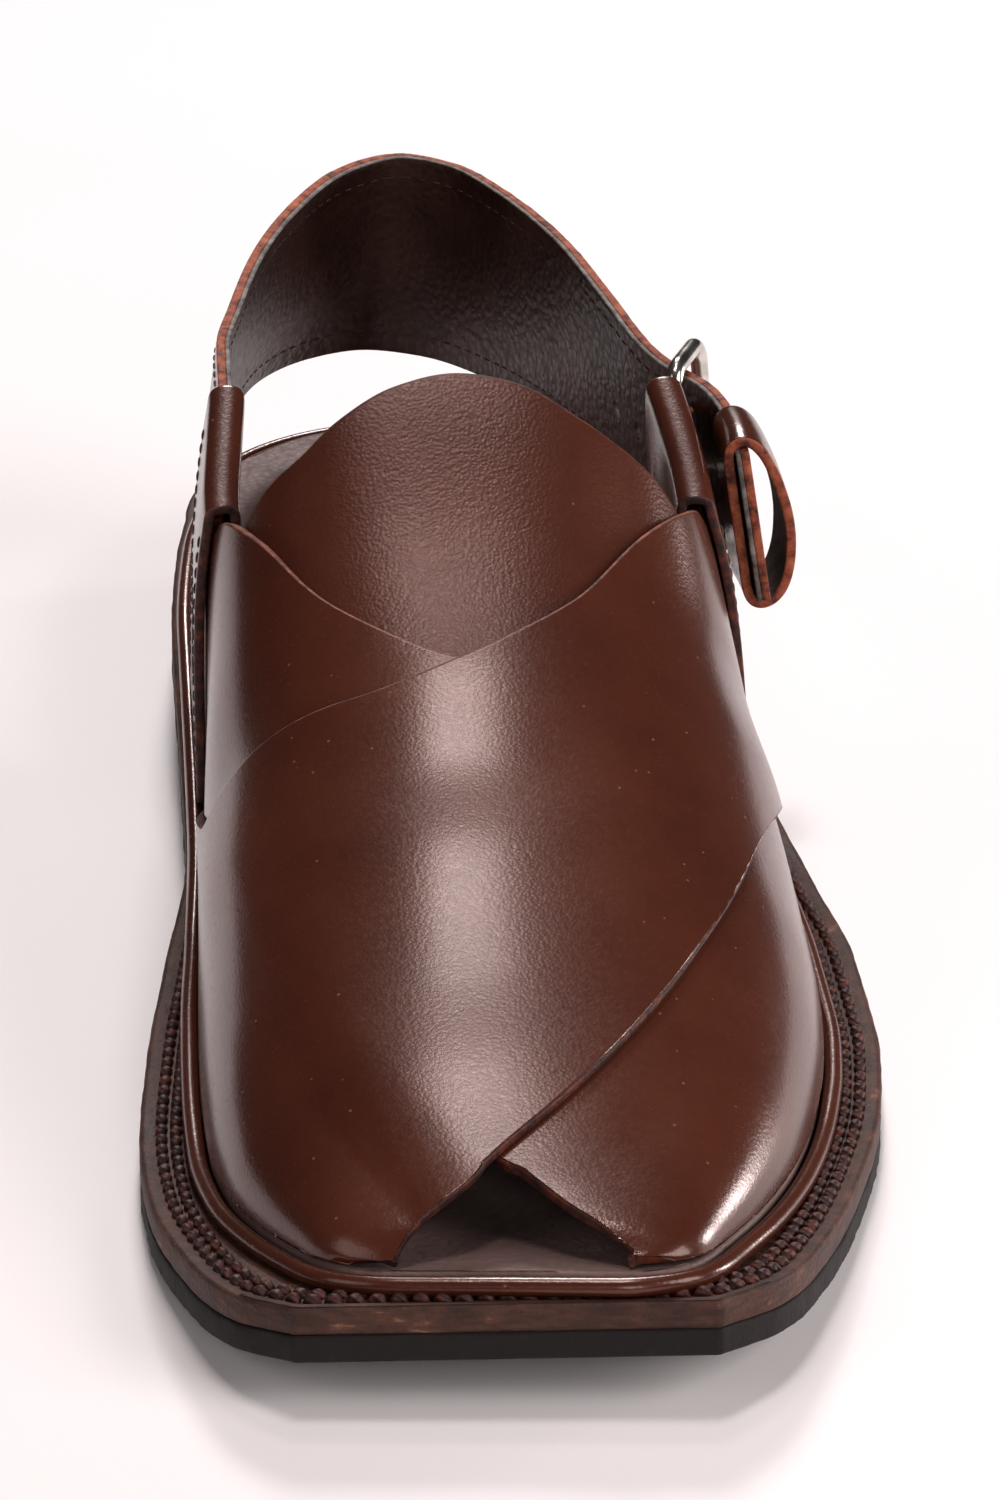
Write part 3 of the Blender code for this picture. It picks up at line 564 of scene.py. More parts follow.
WELT_PITCH = 2.9
WELT_STITCH = 2.75
WELT_THREAD = 0.85
WELT_SINK = 0.35
WELT_DOWN = 0.27
WELT_SLANT = 0.22
WELT_EVENED = 6
# A path's direction is read between places this far ahead and behind.
RUN_REACH = 0.4
THREAD_COLOURS = ("#1a0907", "#3c1a13", "#6a3325")
THREAD_FIBRE = 1.11
THREAD_TWIST = 2.38
THREAD_RELIEF = 0.2


def waxed_thread(name, colours):
    """Waxed thread: a dull sheen, and the strands' twist as fine ridges."""
    finish, shader = finish_of(name, IOR=1.5, Specular_IOR_Level=0.35)
    place = node(finish, "TexCoord").outputs["Object"]
    fibre = node(finish, "TexNoise", {"Scale": marks(THREAD_FIBRE), "Detail": 4.0}, {"Vector": place})
    twist = node(finish, "TexWave", {"Scale": marks(THREAD_TWIST), "Distortion": 3.0}, {"Vector": place},
                 bands_direction="DIAGONAL")
    colour = node(finish, "ValToRGB", links={"Fac": fibre.outputs["Fac"]},
                  stops=tuple(zip((0.32, 0.55, 0.75), colours)))
    gloss = node(finish, "MapRange", {"To Min": 0.42, "To Max": 0.68}, {"Value": fibre.outputs["Fac"]})
    bump = node(finish, "Bump", {"Strength": 0.5, "Distance": THREAD_RELIEF * MM},
                {"Height": twist.outputs["Fac"]})
    link(finish, shader, {"Base Color": colour.outputs["Color"], "Roughness": gloss.outputs["Result"],
                          "Normal": bump.outputs["Normal"]})
    return finish


def lengths(path):
    """How far along a path each of its points lies."""
    return np.concatenate([[0], np.cumsum(np.linalg.norm(np.diff(path, axis=0), axis=1))])


def read_rows(at, keys, rows):
    """Rows of three numbers, read at places between their keys."""
    return np.column_stack([np.interp(at, keys, rows[:, k]) for k in range(3)])


def evened(rows, times=1, closed=False):
    """Evens rows against their neighbours. The first and last stay, unless they are neighbours."""
    for _ in range(times):
        mixed = (np.roll(rows, 1, axis=0) + 2 * rows + np.roll(rows, -1, axis=0)) / 4
        rows = mixed if closed else np.concatenate([rows[:1], mixed[1:-1], rows[-1:]])
    return rows


def spaced(path, pitch):
    """Places along a path one pitch apart, and the direction of the path at each."""
    length = lengths(path)
    count = max(int(round(length[-1] / pitch)), 1)
    at = (np.arange(count) + 0.5) * length[-1] / count
    run = unit(read_rows(at + RUN_REACH, length, path) - read_rows(at - RUN_REACH, length, path))
    return read_rows(at, length, path), run, at, length


def stitch_mesh(path, normals, pitch, long, radius, sink, slant=0.0, rings=7, around=7):
    """Points and faces of one row of stitches along a path on a surface. Each is a short thread,
    arched so that its ends dip in; sink is how deep it lies, slant how far it is turned."""
    place, run, at, length = spaced(path, pitch)
    up = unit(read_rows(at, length, normals))
    side = unit(np.cross(run, up))
    run = unit(run * math.cos(slant) + side * math.sin(slant))
    side = unit(np.cross(run, up))
    u = np.linspace(-1, 1, rings)
    turn = np.linspace(0, 2 * math.pi, around, endpoint=False)
    girth = radius * np.sqrt(np.clip(1 - 0.94 * u ** 4, 0, 1))
    rise = radius * (1 - sink) * (1 - 1.3 * u ** 2) - 0.12 * radius
    local_run = np.repeat(u * long / 2, around)
    local_side = (girth[:, None] * np.cos(turn)).ravel()
    local_up = (rise[:, None] + girth[:, None] * np.sin(turn)).ravel()
    points = (
        place[:, None]
        + run[:, None] * local_run[None, :, None]
        + side[:, None] * local_side[None, :, None]
        + up[:, None] * local_up[None, :, None]
    )
    one = quads(rings, around, closed=True)
    start = np.arange(len(place)) * rings * around
    faces = (one[None] + start[:, None, None]).reshape(-1, 4)
    ends = []
    for first in start:
        ends.append(tuple(first + np.arange(around)[::-1]))
        ends.append(tuple(first + (rings - 1) * around + np.arange(around)))
    return points.reshape(-1, 3), [tuple(face) for face in faces] + ends


def stitch_piece(name, rows, finish, **sizes):
    """One object holding several rows of stitches; each row is a path and its normals."""
    points = []
    faces = []
    for path, normals in rows:
        new_points, new_faces = stitch_mesh(path, normals, **sizes)
        start = sum(len(block) for block in points)
        points.append(new_points)
        faces.extend(tuple(i + start for i in face) for face in new_faces)
    return mesh_piece(name, np.vstack(points), faces, np.zeros(len(faces)), (finish,))


def welt_row(from_outline):
    """A seam line right round the ledge, at a distance from the sole's edge, in its channel."""
    medial, lateral = inset(SOLE_SHAPE, from_outline)
    loop = evened(np.vstack([medial, lateral[::-1], medial[:1]]), WELT_EVENED)
    return np.column_stack([loop, lift(loop[:, 1]) + LEDGE - WELT_DOWN])


WELT_THREAD_FINISH = waxed_thread("waxed_welt_thread", THREAD_COLOURS)
welt_rows = []
for distance in WELT_ROWS:
    line = welt_row(distance)
    welt_rows.append((line, np.tile((0.0, 0.0, 1.0), (len(line), 1))))
welt_stitches = stitch_piece(
    "welt_stitches", welt_rows, WELT_THREAD_FINISH, pitch=WELT_PITCH, long=WELT_STITCH,
    radius=WELT_THREAD, sink=WELT_SINK, slant=WELT_SLANT,
)
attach(welt_stitches, "root")


# ---- Insole ----
# Thin dark brown leather over the midsole, inside the bead. It shows in the open toe and behind
# the tongue, and is pressed a little hollow at the heel.

# Feather line, where the upper meets the sole: y along the foot, x from the long axis.
FEATHER_MEDIAL = (
    (-140.0, -17.5), (-138.4, -22.0), (-134.8, -26.4), (-128.5, -30.3), (-120.5, -34.4),
    (-108.0, -38.8), (-92.0, -41.0), (-75.0, -41.4), (-52.0, -41.0), (-25.0, -39.6),
    (5.0, -38.2), (35.0, -38.0), (65.0, -38.0), (95.0, -36.2), (112.0, -33.2),
)
FEATHER_LATERAL = (
    (-145.3, 16.5), (-144.4, 21.4), (-142.6, 24.8), (-139.4, 27.8), (-132.4, 31.8),
    (-121.8, 37.8), (-106.5, 44.6), (-94.8, 48.4), (-84.9, 50.9), (-74.0, 53.0),
    (-58.0, 54.5), (-35.0, 54.6), (-10.0, 52.9), (12.0, 51.4), (50.0, 46.2), (80.0, 40.8),
    (112.0, 37.0),
)
FEATHER_HEEL_END = 144.0
FEATHER_ROWS = 220
INSOLE_THICK = 2.8
INSOLE_BASE = LEDGE + GAP
RAND_RADIUS = 1.4
HEEL_HOLLOW = 1.2
# The hollow starts behind this place and deepens over these lengths, from the edge and backwards.
HOLLOW_START = 40.0
HOLLOW_SIDE = 22.0
HOLLOW_RUN = 50.0
INSOLE_CORNER = 0.7
# The insole's own dark brown, lifted lighter all over: painted fill light, so that it reads lit where it
# lies in shade in the open toe.
INSOLE_COLOURS_WITH_PAINTED_FILL = ("#4a3835", "#624e4a", "#7a6560")
INSOLE_GRAIN = 1.3
INSOLE_ROUGHNESS = 0.55
LINING_WANDER = 2.0
LINING_WANDER_BY = 1.2
LINING_CLOUD = 22.2
LINING_RELIEF = 0.35
SPECULAR_WARMTH = "#ffdfd8"


def lining_leather(name, colours, grain, roughness=0.5):
    """Chrome-tanned lining leather: soft, dark and dull, with a pebbled grain."""
    finish, shader = finish_of(name, IOR=1.5, Specular_Tint=linear(SPECULAR_WARMTH))
    place = node(finish, "TexCoord").outputs["Object"]
    wander = node(finish, "TexNoise", {"Scale": marks(LINING_WANDER), "Detail": 2.0}, {"Vector": place})
    bent = node(finish, "VectorMath", {"Scale": LINING_WANDER_BY * MM}, {0: wander.outputs["Color"]},
                operation="SCALE")
    moved = node(finish, "VectorMath", links={0: place, 1: bent.outputs[0]}, operation="ADD")
    pebble = node(finish, "TexVoronoi", {"Scale": marks(grain)}, {"Vector": moved.outputs[0]})
    cloud = node(finish, "TexNoise", {"Scale": marks(LINING_CLOUD), "Detail": 4.0}, {"Vector": place})
    colour = node(finish, "ValToRGB", links={"Fac": cloud.outputs["Fac"]},
                  stops=tuple(zip((0.3, 0.5, 0.72), colours)))
    gloss = node(finish, "MapRange", {"To Min": roughness - 0.06, "To Max": roughness + 0.12},
                 {"Value": pebble.outputs["Distance"]})
    bump = node(finish, "Bump", {"Strength": 0.45, "Distance": LINING_RELIEF * MM},
                {"Height": pebble.outputs["Distance"]}, invert=True)
    link(finish, shader, {"Base Color": colour.outputs["Color"], "Roughness": gloss.outputs["Result"],
                          "Normal": bump.outputs["Normal"]})
    return finish


INSOLE_LEATHER = lining_leather("insole_leather", INSOLE_COLOURS_WITH_PAINTED_FILL, INSOLE_GRAIN, INSOLE_ROUGHNESS)
FEATHER_SHAPE = edges(FEATHER_MEDIAL, FEATHER_LATERAL, FEATHER_HEEL_END, FEATHER_ROWS)
insole_plan = across_sole(inset(FEATHER_SHAPE, RAND_RADIUS + GAP), SOLE_COLUMNS)
insole_face = level(insole_plan, INSOLE_BASE + INSOLE_THICK)
insole_back = level(insole_plan, INSOLE_BASE - GAP)
behind = ease((insole_plan[:, :, 1] - HOLLOW_START) / HOLLOW_RUN)
hollow = ease(from_edge(insole_plan) / HOLLOW_SIDE) * behind
insole_face[:, :, 2] -= HEEL_HOLLOW * hollow
insole = slab(
    "insole_leather", insole_face, insole_back, (INSOLE_LEATHER, INSOLE_LEATHER, INSOLE_LEATHER),
    INSOLE_CORNER, seed=6,
)
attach(insole, "root")
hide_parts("insole")


# ---- Rand ----
# A bead of the upper's leather wrapped over a cord and sewn down along the feather line, right
# round the foot and across the open toe. The leather is full-grain, dyed red-brown, waxed and
# glazed: a smooth skin with fine pores that reflects broad soft lights.

RAND_CENTRE = LEDGE + GAP + RAND_RADIUS
RAND_SUNK = 0.25
# Points round the bead, steps along it at the toe, and how often its line is evened.
RAND_AROUND = 14
RAND_TOE_STEPS = 40
RAND_EVENED = 4
LEATHER_COLOURS = ("#3c1a10", "#462014", "#51291b")
LEATHER_CLOUD = 31.25
LEATHER_WAX = 0.909
LEATHER_PORE = 0.55
LEATHER_RELIEF = 0.12
LEATHER_SPECK = "#7a4a38"
SPECK_SPACING = 5.0
COAT_ROUGHNESS = 0.18


def polished_leather(name="polished_brown_leather", pore=0.15, roughness=0.22, level=0.5, wax=0.22):
    """Glazed full-grain leather: red-brown depth, fine pores, tiny pale specks, wax coat."""
    finish, shader = finish_of(
        name, IOR=1.5, Specular_Tint=linear(SPECULAR_WARMTH), Specular_IOR_Level=level,
        Coat_Weight=wax, Coat_Roughness=COAT_ROUGHNESS,
    )
    dark, mid, warm = LEATHER_COLOURS
    place = node(finish, "TexCoord").outputs["Object"]
    cloud = node(finish, "TexNoise", {"Scale": marks(LEATHER_CLOUD), "Detail": 5.0, "Roughness": 0.55},
                 {"Vector": place})
    fine = node(finish, "TexNoise", {"Scale": marks(LEATHER_WAX), "Detail": 4.0}, {"Vector": place})
    pores = node(finish, "TexVoronoi", {"Scale": marks(LEATHER_PORE)}, {"Vector": place})
    specks = node(finish, "TexVoronoi", {"Scale": marks(SPECK_SPACING)}, {"Vector": place})
    base = node(finish, "ValToRGB", links={"Fac": cloud.outputs["Fac"]},
                stops=((0.30, dark), (0.52, mid), (0.78, warm)))
    dot = node(finish, "MapRange", {"From Min": 0.035, "From Max": 0.055, "To Min": 1.0, "To Max": 0.0},
               {"Value": specks.outputs["Distance"]})
    # The colour mix's sockets: 6 is the leather, 7 the speck, and output 2 the colour.
    mixed = node(finish, "Mix", {7: linear(LEATHER_SPECK)},
                 {"Factor": dot.outputs["Result"], 6: base.outputs["Color"]}, data_type="RGBA")
    waxed = node(finish, "MapRange", {"To Min": roughness - 0.05, "To Max": roughness + 0.10},
                 {"Value": fine.outputs["Fac"]})
    grain = node(finish, "Math", links={0: pores.outputs["Distance"], 1: fine.outputs["Fac"]})
    bump = node(finish, "Bump", {"Strength": pore, "Distance": LEATHER_RELIEF * MM},
                {"Height": grain.outputs[0]})
    link(finish, shader, {"Base Color": mixed.outputs[2], "Roughness": waxed.outputs["Result"],
                          "Normal": bump.outputs["Normal"]})
    return finish


def tube(name, path, radius, finishes, around, closed=False, up=(0.0, 0.0, 1.0)):
    """A round cord or wire along a path. Radius may differ from point to point."""
    path = np.asarray(path, float)
    if closed:
        run = unit(np.roll(path, -1, axis=0) - np.roll(path, 1, axis=0))
    else:
        run = unit(np.gradient(path, axis=0))
    side = unit(np.cross(run, np.array(up)))
    top = unit(np.cross(side, run))
    turn = np.linspace(0, 2 * math.pi, around, endpoint=False)
    radius = np.broadcast_to(radius, len(path))[:, None, None]
    points = path[:, None] + radius * (
        side[:, None] * np.cos(turn)[None, :, None] + top[:, None] * np.sin(turn)[None, :, None]
    )
    count = len(path)
    if closed:
        faces = list(quads(count + 1, around, closed=True) % (count * around))
    else:
        faces = list(quads(count, around, closed=True))
        faces.append(range(around)[::-1])
        faces.append([(count - 1) * around + i for i in range(around)])
    return mesh_piece(name, points.reshape(-1, 3), faces, np.zeros(len(faces)), finishes)


def closed_line(shape):
    """One closed line round a shape: along the toe, up the lateral side, round, and back."""
    medial, lateral = shape
    toe = medial[0] + (lateral[0] - medial[0]) * np.linspace(0, 1, RAND_TOE_STEPS)[1:-1, None]
    return evened(np.vstack([toe, lateral, medial[::-1]]), RAND_EVENED, closed=True)


LEATHER = polished_leather()
rand_line = closed_line(FEATHER_SHAPE)
rand_path = np.column_stack([rand_line, lift(rand_line[:, 1]) + RAND_CENTRE - RAND_SUNK])
rand = tube("rand_bead", rand_path, RAND_RADIUS, (LEATHER,), RAND_AROUND, closed=True)
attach(rand, "root")
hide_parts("rand")


# ---- Vamp bands ----
# Two wide bands of 2 mm leather crossed over the forefoot and pulled over the last wet, so they keep
# its shape. The one from the lateral toe lies under; the one from the medial toe goes over it.
# Their lower ends are caught in the welt seam. Each is lined with thin dark leather.

BAND_THICK = 2.0
VAMP_REAR = 21.0
BAND_CORNER = 0.4
SEAT = INSOLE_BASE + INSOLE_THICK + GAP
SEAT_INSET = 3.4
# The last is this much narrower where the quarter straps stand, from one place to the other.
QUARTER_ROOM = 0.9
ROOM_START = -12.0
ROOM_END = 10.0
# Sections of the last: distance behind the toe's seat line, ridge height, ridge place, then each
# side's fullness and lean.
SECTIONS = (
    (0.0, 0.0, 0.46, 2.6, 0.02, 2.6, 0.02),
    (3.5, 4.2, 0.46, 2.6, 0.02, 2.6, 0.02),
    (8.0, 6.8, 0.45, 2.6, 0.02, 2.6, 0.02),
    (16.0, 10.6, 0.44, 2.5, 0.03, 2.5, 0.03),
    (33.0, 18.0, 0.43, 2.5, 0.04, 2.4, 0.04),
    (58.0, 27.5, 0.43, 2.5, 0.05, 2.3, 0.05),
    (83.0, 36.0, 0.43, 2.6, 0.05, 2.3, 0.06),
    (107.0, 45.5, 0.44, 2.7, 0.05, 2.4, 0.08),
    (129.0, 57.0, 0.45, 3.3, 0.02, 2.8, 0.10),
    (151.0, 71.5, 0.46, 4.0, 0.00, 3.4, 0.10),
    (169.0, 81.5, 0.46, 3.4, 0.03, 3.4, 0.10),
    (182.0, 87.0, 0.46, 3.0, 0.05, 3.4, 0.10),
    (200.0, 94.0, 0.46, 3.0, 0.05, 3.4, 0.10),
)
# Edges of the bands: y along the foot, share of the last's girth from the medial seat.
OVER_FRONT = (
    (-138.8, 0.05), (-138.2, 0.125), (-135.9, 0.24), (-129.5, 0.43), (-124.4, 0.494), (-115.4, 0.594),
    (-106.4, 0.656), (-96.1, 0.70), (-73.0, 0.763), (-50.0, 0.81), (-20.0, 0.90), (4.0, 1.0),
)
OVER_REAR = (
    (10.0, 0.0), (-18.0, 0.09), (-31.0, 0.14), (-35.0, 0.22), (-37.0, 0.36), (-32.0, 0.469),
    (-20.4, 0.588), (-4.9, 0.663), (4.0, 0.708), (8.5, 0.732), (12.0, 0.762), (21.0, 0.772),
)
UNDER_FRONT = (
    (4.0, 0.0), (-20.0, 0.10), (-50.0, 0.19), (-73.0, 0.237), (-96.0, 0.30), (-106.4, 0.344),
    (-115.0, 0.40), (-125.0, 0.487), (-128.2, 0.55), (-133.4, 0.65), (-136.2, 0.76),
    (-137.3, 0.82), (-138.2, 0.89), (-138.8, 0.97),
)
UNDER_REAR = (
    (21.0, 0.228), (12.0, 0.238), (8.5, 0.262), (-2.4, 0.306), (-19.0, 0.362), (-30.6, 0.469),
    (-33.5, 0.60), (-30.0, 0.80), (-16.0, 1.0),
)
GIRTH = 120.0
OVER_THICK = 1.6
# The over band's step up on the under band, its step at the seat, and how it sinks to the last
# beyond the under band's edges.
BAND_STEP = 1.5
SEAT_STEP = 0.5
SEAT_STEP_SHARE = 0.12
SINK_START = 2.0
SINK_FRONT = 60.0
SINK_REAR = 20.0
# Grid of a band: rows along it, set closer towards the toe, steps round its toe corner and round
# its rear corner.
BAND_ROWS = np.linspace(0, 1, 190) ** 1.25
TOE_STEPS = (14, 91)
SEAT_STEPS = (35, 70)
BAND_LINING_COLOURS = ("#151011", "#231b1b", "#332826")
BAND_LINING_PEBBLE = 1.1
DYED_COLOURS = ("#1c0a07", "#3b160e", "#6a2d1c")
REAR_EDGE_COLOURS = ("#2e120b", "#66301d", "#84482f")
# Along the over band's rear edge, the burnished finish starts at this share of its rows. Before it, low
# on the medial side by the seat, the edge takes the dark edge colour as painted shade.
REAR_EDGE_FROM = 0.42
EDGE_DYE = 2.38
EDGE_FIBRE = 0.455
EDGE_RELIEF = 0.3
# Soft folds of the vamp: y and share of both ends, half width, depth in mm (less than 0: a ridge).
VAMP_FOLDS = (
    (-52.0, 0.36, -51.0, 0.56, 9.0, 0.22),
    (-66.0, 0.38, -64.0, 0.56, 8.0, -0.16),
    (-82.0, 0.36, -80.0, 0.54, 8.0, 0.16),
    (-112.0, 0.20, -84.0, 0.17, 8.0, 0.20),
    (-116.0, 0.76, -92.0, 0.80, 7.0, 0.22),
)


def seat_inset(y):
    return SEAT_INSET + QUARTER_ROOM * ease((y - ROOM_START) / (ROOM_END - ROOM_START))


SEAT_ROWS = inset(FEATHER_SHAPE, seat_inset)
SEAT_MIDDLE = (SEAT_ROWS[0][:, 1] + SEAT_ROWS[1][:, 1]) / 2
TOE_Y = float(SEAT_MIDDLE[0])
# Grid of the last: its sections, closer in the toe, its even points round each, worked out from
# finer ones, and how often it is evened.
TOE_LENGTH = 12.0
LAST_END = 62.0
ROUND_POINTS = 241
LAST_Y = np.concatenate([
    np.linspace(TOE_Y, TOE_Y + TOE_LENGTH, 31)[:-1], np.arange(TOE_Y + TOE_LENGTH, LAST_END, 1.0),
])
LAST_SHARES = 161
LAST_EVENED = 10


def section(y):
    """The last's section at one place along the foot, at even steps of girth."""
    ends = []
    for rows in SEAT_ROWS:
        x = np.interp(y, SEAT_MIDDLE, rows[:, 0])
        own_y = np.interp(y, SEAT_MIDDLE, rows[:, 1])
        ends.append(np.array([x, own_y, SEAT + lift(own_y)]))
    height, ridge, full_m, lean_m, full_l, lean_l = (
        float(through(SECTIONS, y - TOE_Y, column)) for column in range(1, 7)
    )
    centre = ends[0] + (ends[1] - ends[0]) * ridge
    turn = np.linspace(0, math.pi, ROUND_POINTS)
    medial = turn < math.pi / 2
    end = np.where(medial[:, None], ends[0], ends[1])
    full = np.where(medial, full_m, full_l)
    lean = np.where(medial, lean_m, lean_l)
    rise = np.abs(np.sin(turn)) ** (2 / full)
    out = np.abs(np.cos(turn)) ** (2 / full) * (1 - lean * rise)
    points = centre + (end - centre) * out[:, None]
    points[:, 2] += height * rise
    length = lengths(points)
    return read_rows(np.linspace(0, length[-1], LAST_SHARES), length, points)


def last_surface():
    """The last as a fine grid of points, evened so that it shines without ripples, with normals."""
    grid = np.array([section(y) for y in LAST_Y])
    for _ in range(2 * LAST_EVENED):
        grid = evened(grid).swapaxes(0, 1)
    return grid, unit(np.cross(np.gradient(grid, axis=1), np.gradient(grid, axis=0)))


LAST_POINTS, LAST_NORMALS = last_surface()


def read_last(table, y, share):
    """A table over the last's grid, read between its points."""
    row = np.interp(y, LAST_Y, np.arange(len(LAST_Y)))
    column = np.clip(share, 0, 1) * (LAST_SHARES - 1)
    i = np.clip(row.astype(int), 0, len(LAST_Y) - 2)
    j = np.clip(column.astype(int), 0, LAST_SHARES - 2)
    a, b = (row - i)[..., None], (column - j)[..., None]
    return (
        table[i, j] * (1 - a) * (1 - b) + table[i + 1, j] * a * (1 - b)
        + table[i, j + 1] * (1 - a) * b + table[i + 1, j + 1] * a * b
    )


def on_last(y, share, offset=0.0):
    """Points that stand off the last by a distance."""
    y, share = np.broadcast_arrays(np.asarray(y, float), np.asarray(share, float))
    normal = unit(read_last(LAST_NORMALS, y, share))
    return read_last(LAST_POINTS, y, share) + normal * np.asarray(offset)[..., None]


def along_path(table, fractions):
    """Points along the smooth curve through a table, at fractions of its length."""
    rows = np.array(table, float)
    length = lengths(rows * (1.0, GIRTH))
    keyed = np.column_stack([length, rows])
    at = np.asarray(fractions) * length[-1]
    return np.column_stack([through(keyed, at, 1), through(keyed, at, 2)])


def corner_path(points, counts):
    """Straight runs between corner points, each with its own number of steps."""
    path = [np.array(points[0], float)]
    for start, end, steps in zip(points[:-1], points[1:], counts):
        for i in range(1, steps + 1):
            path.append(np.array(start) + (np.array(end) - np.array(start)) * i / steps)
    return np.array(path)


def patch(front, rear, first, last, fractions):
    """A grid filled in between four edges: front and rear run along it, first and last across."""
    k = np.asarray(fractions)[:, None, None]
    t = np.linspace(0, 1, len(first))[None, :, None]
    sides = (1 - t) * front[:, None] + t * rear[:, None] + (1 - k) * first[None] + k * last[None]
    corners = (
        (1 - k) * (1 - t) * front[0] + (1 - k) * t * rear[0]
        + k * (1 - t) * front[-1] + k * t * rear[-1]
    )
    return sides - corners


def folds(table, y, share):
    """How deep these places lie in the soft folds of a table."""
    depth = np.zeros(np.shape(y))
    for y0, share0, y1, share1, half_width, deep in table:
        start = np.array((y0, share0 * GIRTH))
        run = np.array((y1, share1 * GIRTH)) - start
        to = np.stack([y, share * GIRTH], axis=-1) - start
        along = (to @ run) / (run @ run)
        apart = np.linalg.norm(to - np.clip(along, 0, 1)[..., None] * run, axis=-1)
        depth += deep * np.exp(-(apart / half_width) ** 2)
    return depth


def overlap(y, share):
    """Height of the over band on the under band: less at the seat, 0 where it lies on the last."""
    front = np.interp(share, [row[1] for row in UNDER_FRONT], [row[0] for row in UNDER_FRONT])
    rear = np.interp(share, [row[1] for row in UNDER_REAR], [row[0] for row in UNDER_REAR])
    before = ease(1 + (y - front + SINK_START) / SINK_FRONT)
    over_it = before * ease(1 + (rear - y + SINK_START) / SINK_REAR)
    from_seat = np.minimum(share, 1 - share) / SEAT_STEP_SHARE
    return over_it * (SEAT_STEP + (BAND_STEP - SEAT_STEP) * ease(from_seat))


def leather_band(name, front, rear, first, last, rows, stands_off, thick, seed, last_from=0.0):
    """One band: a patch of the last between its four edges, its folds, and its thickness."""
    plan = patch(along_path(front, rows), along_path(rear, rows), first, last, rows)
    y, share = plan[:, :, 0], plan[:, :, 1]
    off = stands_off(y, share) - folds(VAMP_FOLDS, y, share)
    return slab(
        name, on_last(y, share, off), on_last(y, share, off - thick),
        (LEATHER, DYED_EDGE, BAND_LINING, REAR_EDGE), BAND_CORNER, seed=seed, last_from=last_from,
    )


def fibre_edge(name, colours, roughness=0.7):
    """A cut edge: tan fibre, dyed unevenly, with a soft furry break."""
    finish, shader = finish_of(name, IOR=1.45)
    place = node(finish, "TexCoord").outputs["Object"]
    dye = node(finish, "TexNoise", {"Scale": marks(EDGE_DYE), "Detail": 5.0, "Roughness": 0.65},
               {"Vector": place})
    fibre = node(finish, "TexNoise", {"Scale": marks(EDGE_FIBRE), "Detail": 3.0}, {"Vector": place})
    colour = node(finish, "ValToRGB", links={"Fac": dye.outputs["Fac"]},
                  stops=tuple(zip((0.36, 0.50, 0.68), colours)))
    gloss = node(finish, "MapRange", {"To Min": roughness - 0.1, "To Max": roughness + 0.15},
                 {"Value": fibre.outputs["Fac"]})
    bump = node(finish, "Bump", {"Strength": 0.5, "Distance": EDGE_RELIEF * MM},
                {"Height": fibre.outputs["Fac"]})
    link(finish, shader, {"Base Color": colour.outputs["Color"], "Roughness": gloss.outputs["Result"],
                          "Normal": bump.outputs["Normal"]})
    return finish


DYED_EDGE = fibre_edge("dyed_cut_edge", DYED_COLOURS, 0.6)
REAR_EDGE = fibre_edge("burnished_cut_edge", REAR_EDGE_COLOURS, 0.6)
BAND_LINING = lining_leather("band_lining", BAND_LINING_COLOURS, BAND_LINING_PEBBLE)
toe_share = OVER_FRONT[0][1]
over_band = leather_band(
    "over_band",
    ((TOE_Y, toe_share), *OVER_FRONT[1:]),
    OVER_REAR,
    corner_path(((TOE_Y, toe_share), (TOE_Y, 0.0), OVER_REAR[0]), TOE_STEPS),
    corner_path((OVER_FRONT[-1], (VAMP_REAR, 1.0), OVER_REAR[-1]), SEAT_STEPS),
    BAND_ROWS, lambda y, share: BAND_THICK + overlap(y, share), OVER_THICK,
    # Near the medial seat the rear edge keeps the dark edge colour: painted shade.
    seed=11, last_from=REAR_EDGE_FROM,
)
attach(over_band, "root")
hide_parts("upper")

toe_share = UNDER_FRONT[-1][1]
under_band = leather_band(
    "under_band",
    (*UNDER_FRONT[:-1], (TOE_Y, toe_share)),
    UNDER_REAR,
    corner_path((UNDER_FRONT[0], (VAMP_REAR, 0.0), UNDER_REAR[0]), SEAT_STEPS),
    corner_path(((TOE_Y, toe_share), (TOE_Y, 1.0), UNDER_REAR[-1]), TOE_STEPS),
    1 - BAND_ROWS[::-1], lambda y, share: np.full(np.shape(y), BAND_THICK), BAND_THICK,
    seed=12,
)
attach(under_band, "root")
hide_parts("upper")


# ---- Tongue ----
# One piece of the same leather that fills the V behind the bands. It is sewn under them, and its
# free edge is domed. It is less glazed than the bands, so its grain shows.

TONGUE_THICK = 2.0
TONGUE_UNDER = 0.55
TONGUE_FRONT = -62.0
# Free edge of the tongue: share of the last's girth, y along the foot.
TONGUE_EDGE = (
    (0.23, 5.2), (0.30, 4.8), (0.35, 4.4), (0.40, 7.6), (0.45, 11.4), (0.50, 13.2),
    (0.55, 11.8), (0.60, 8.2), (0.65, 6.6), (0.70, 6.8), (0.77, 6.8),
)
# Grid of the tongue: rows across, columns along, and how often its free edge is evened.
TONGUE_ROWS = 140
TONGUE_COLUMNS = 110
TONGUE_EVENED = 8

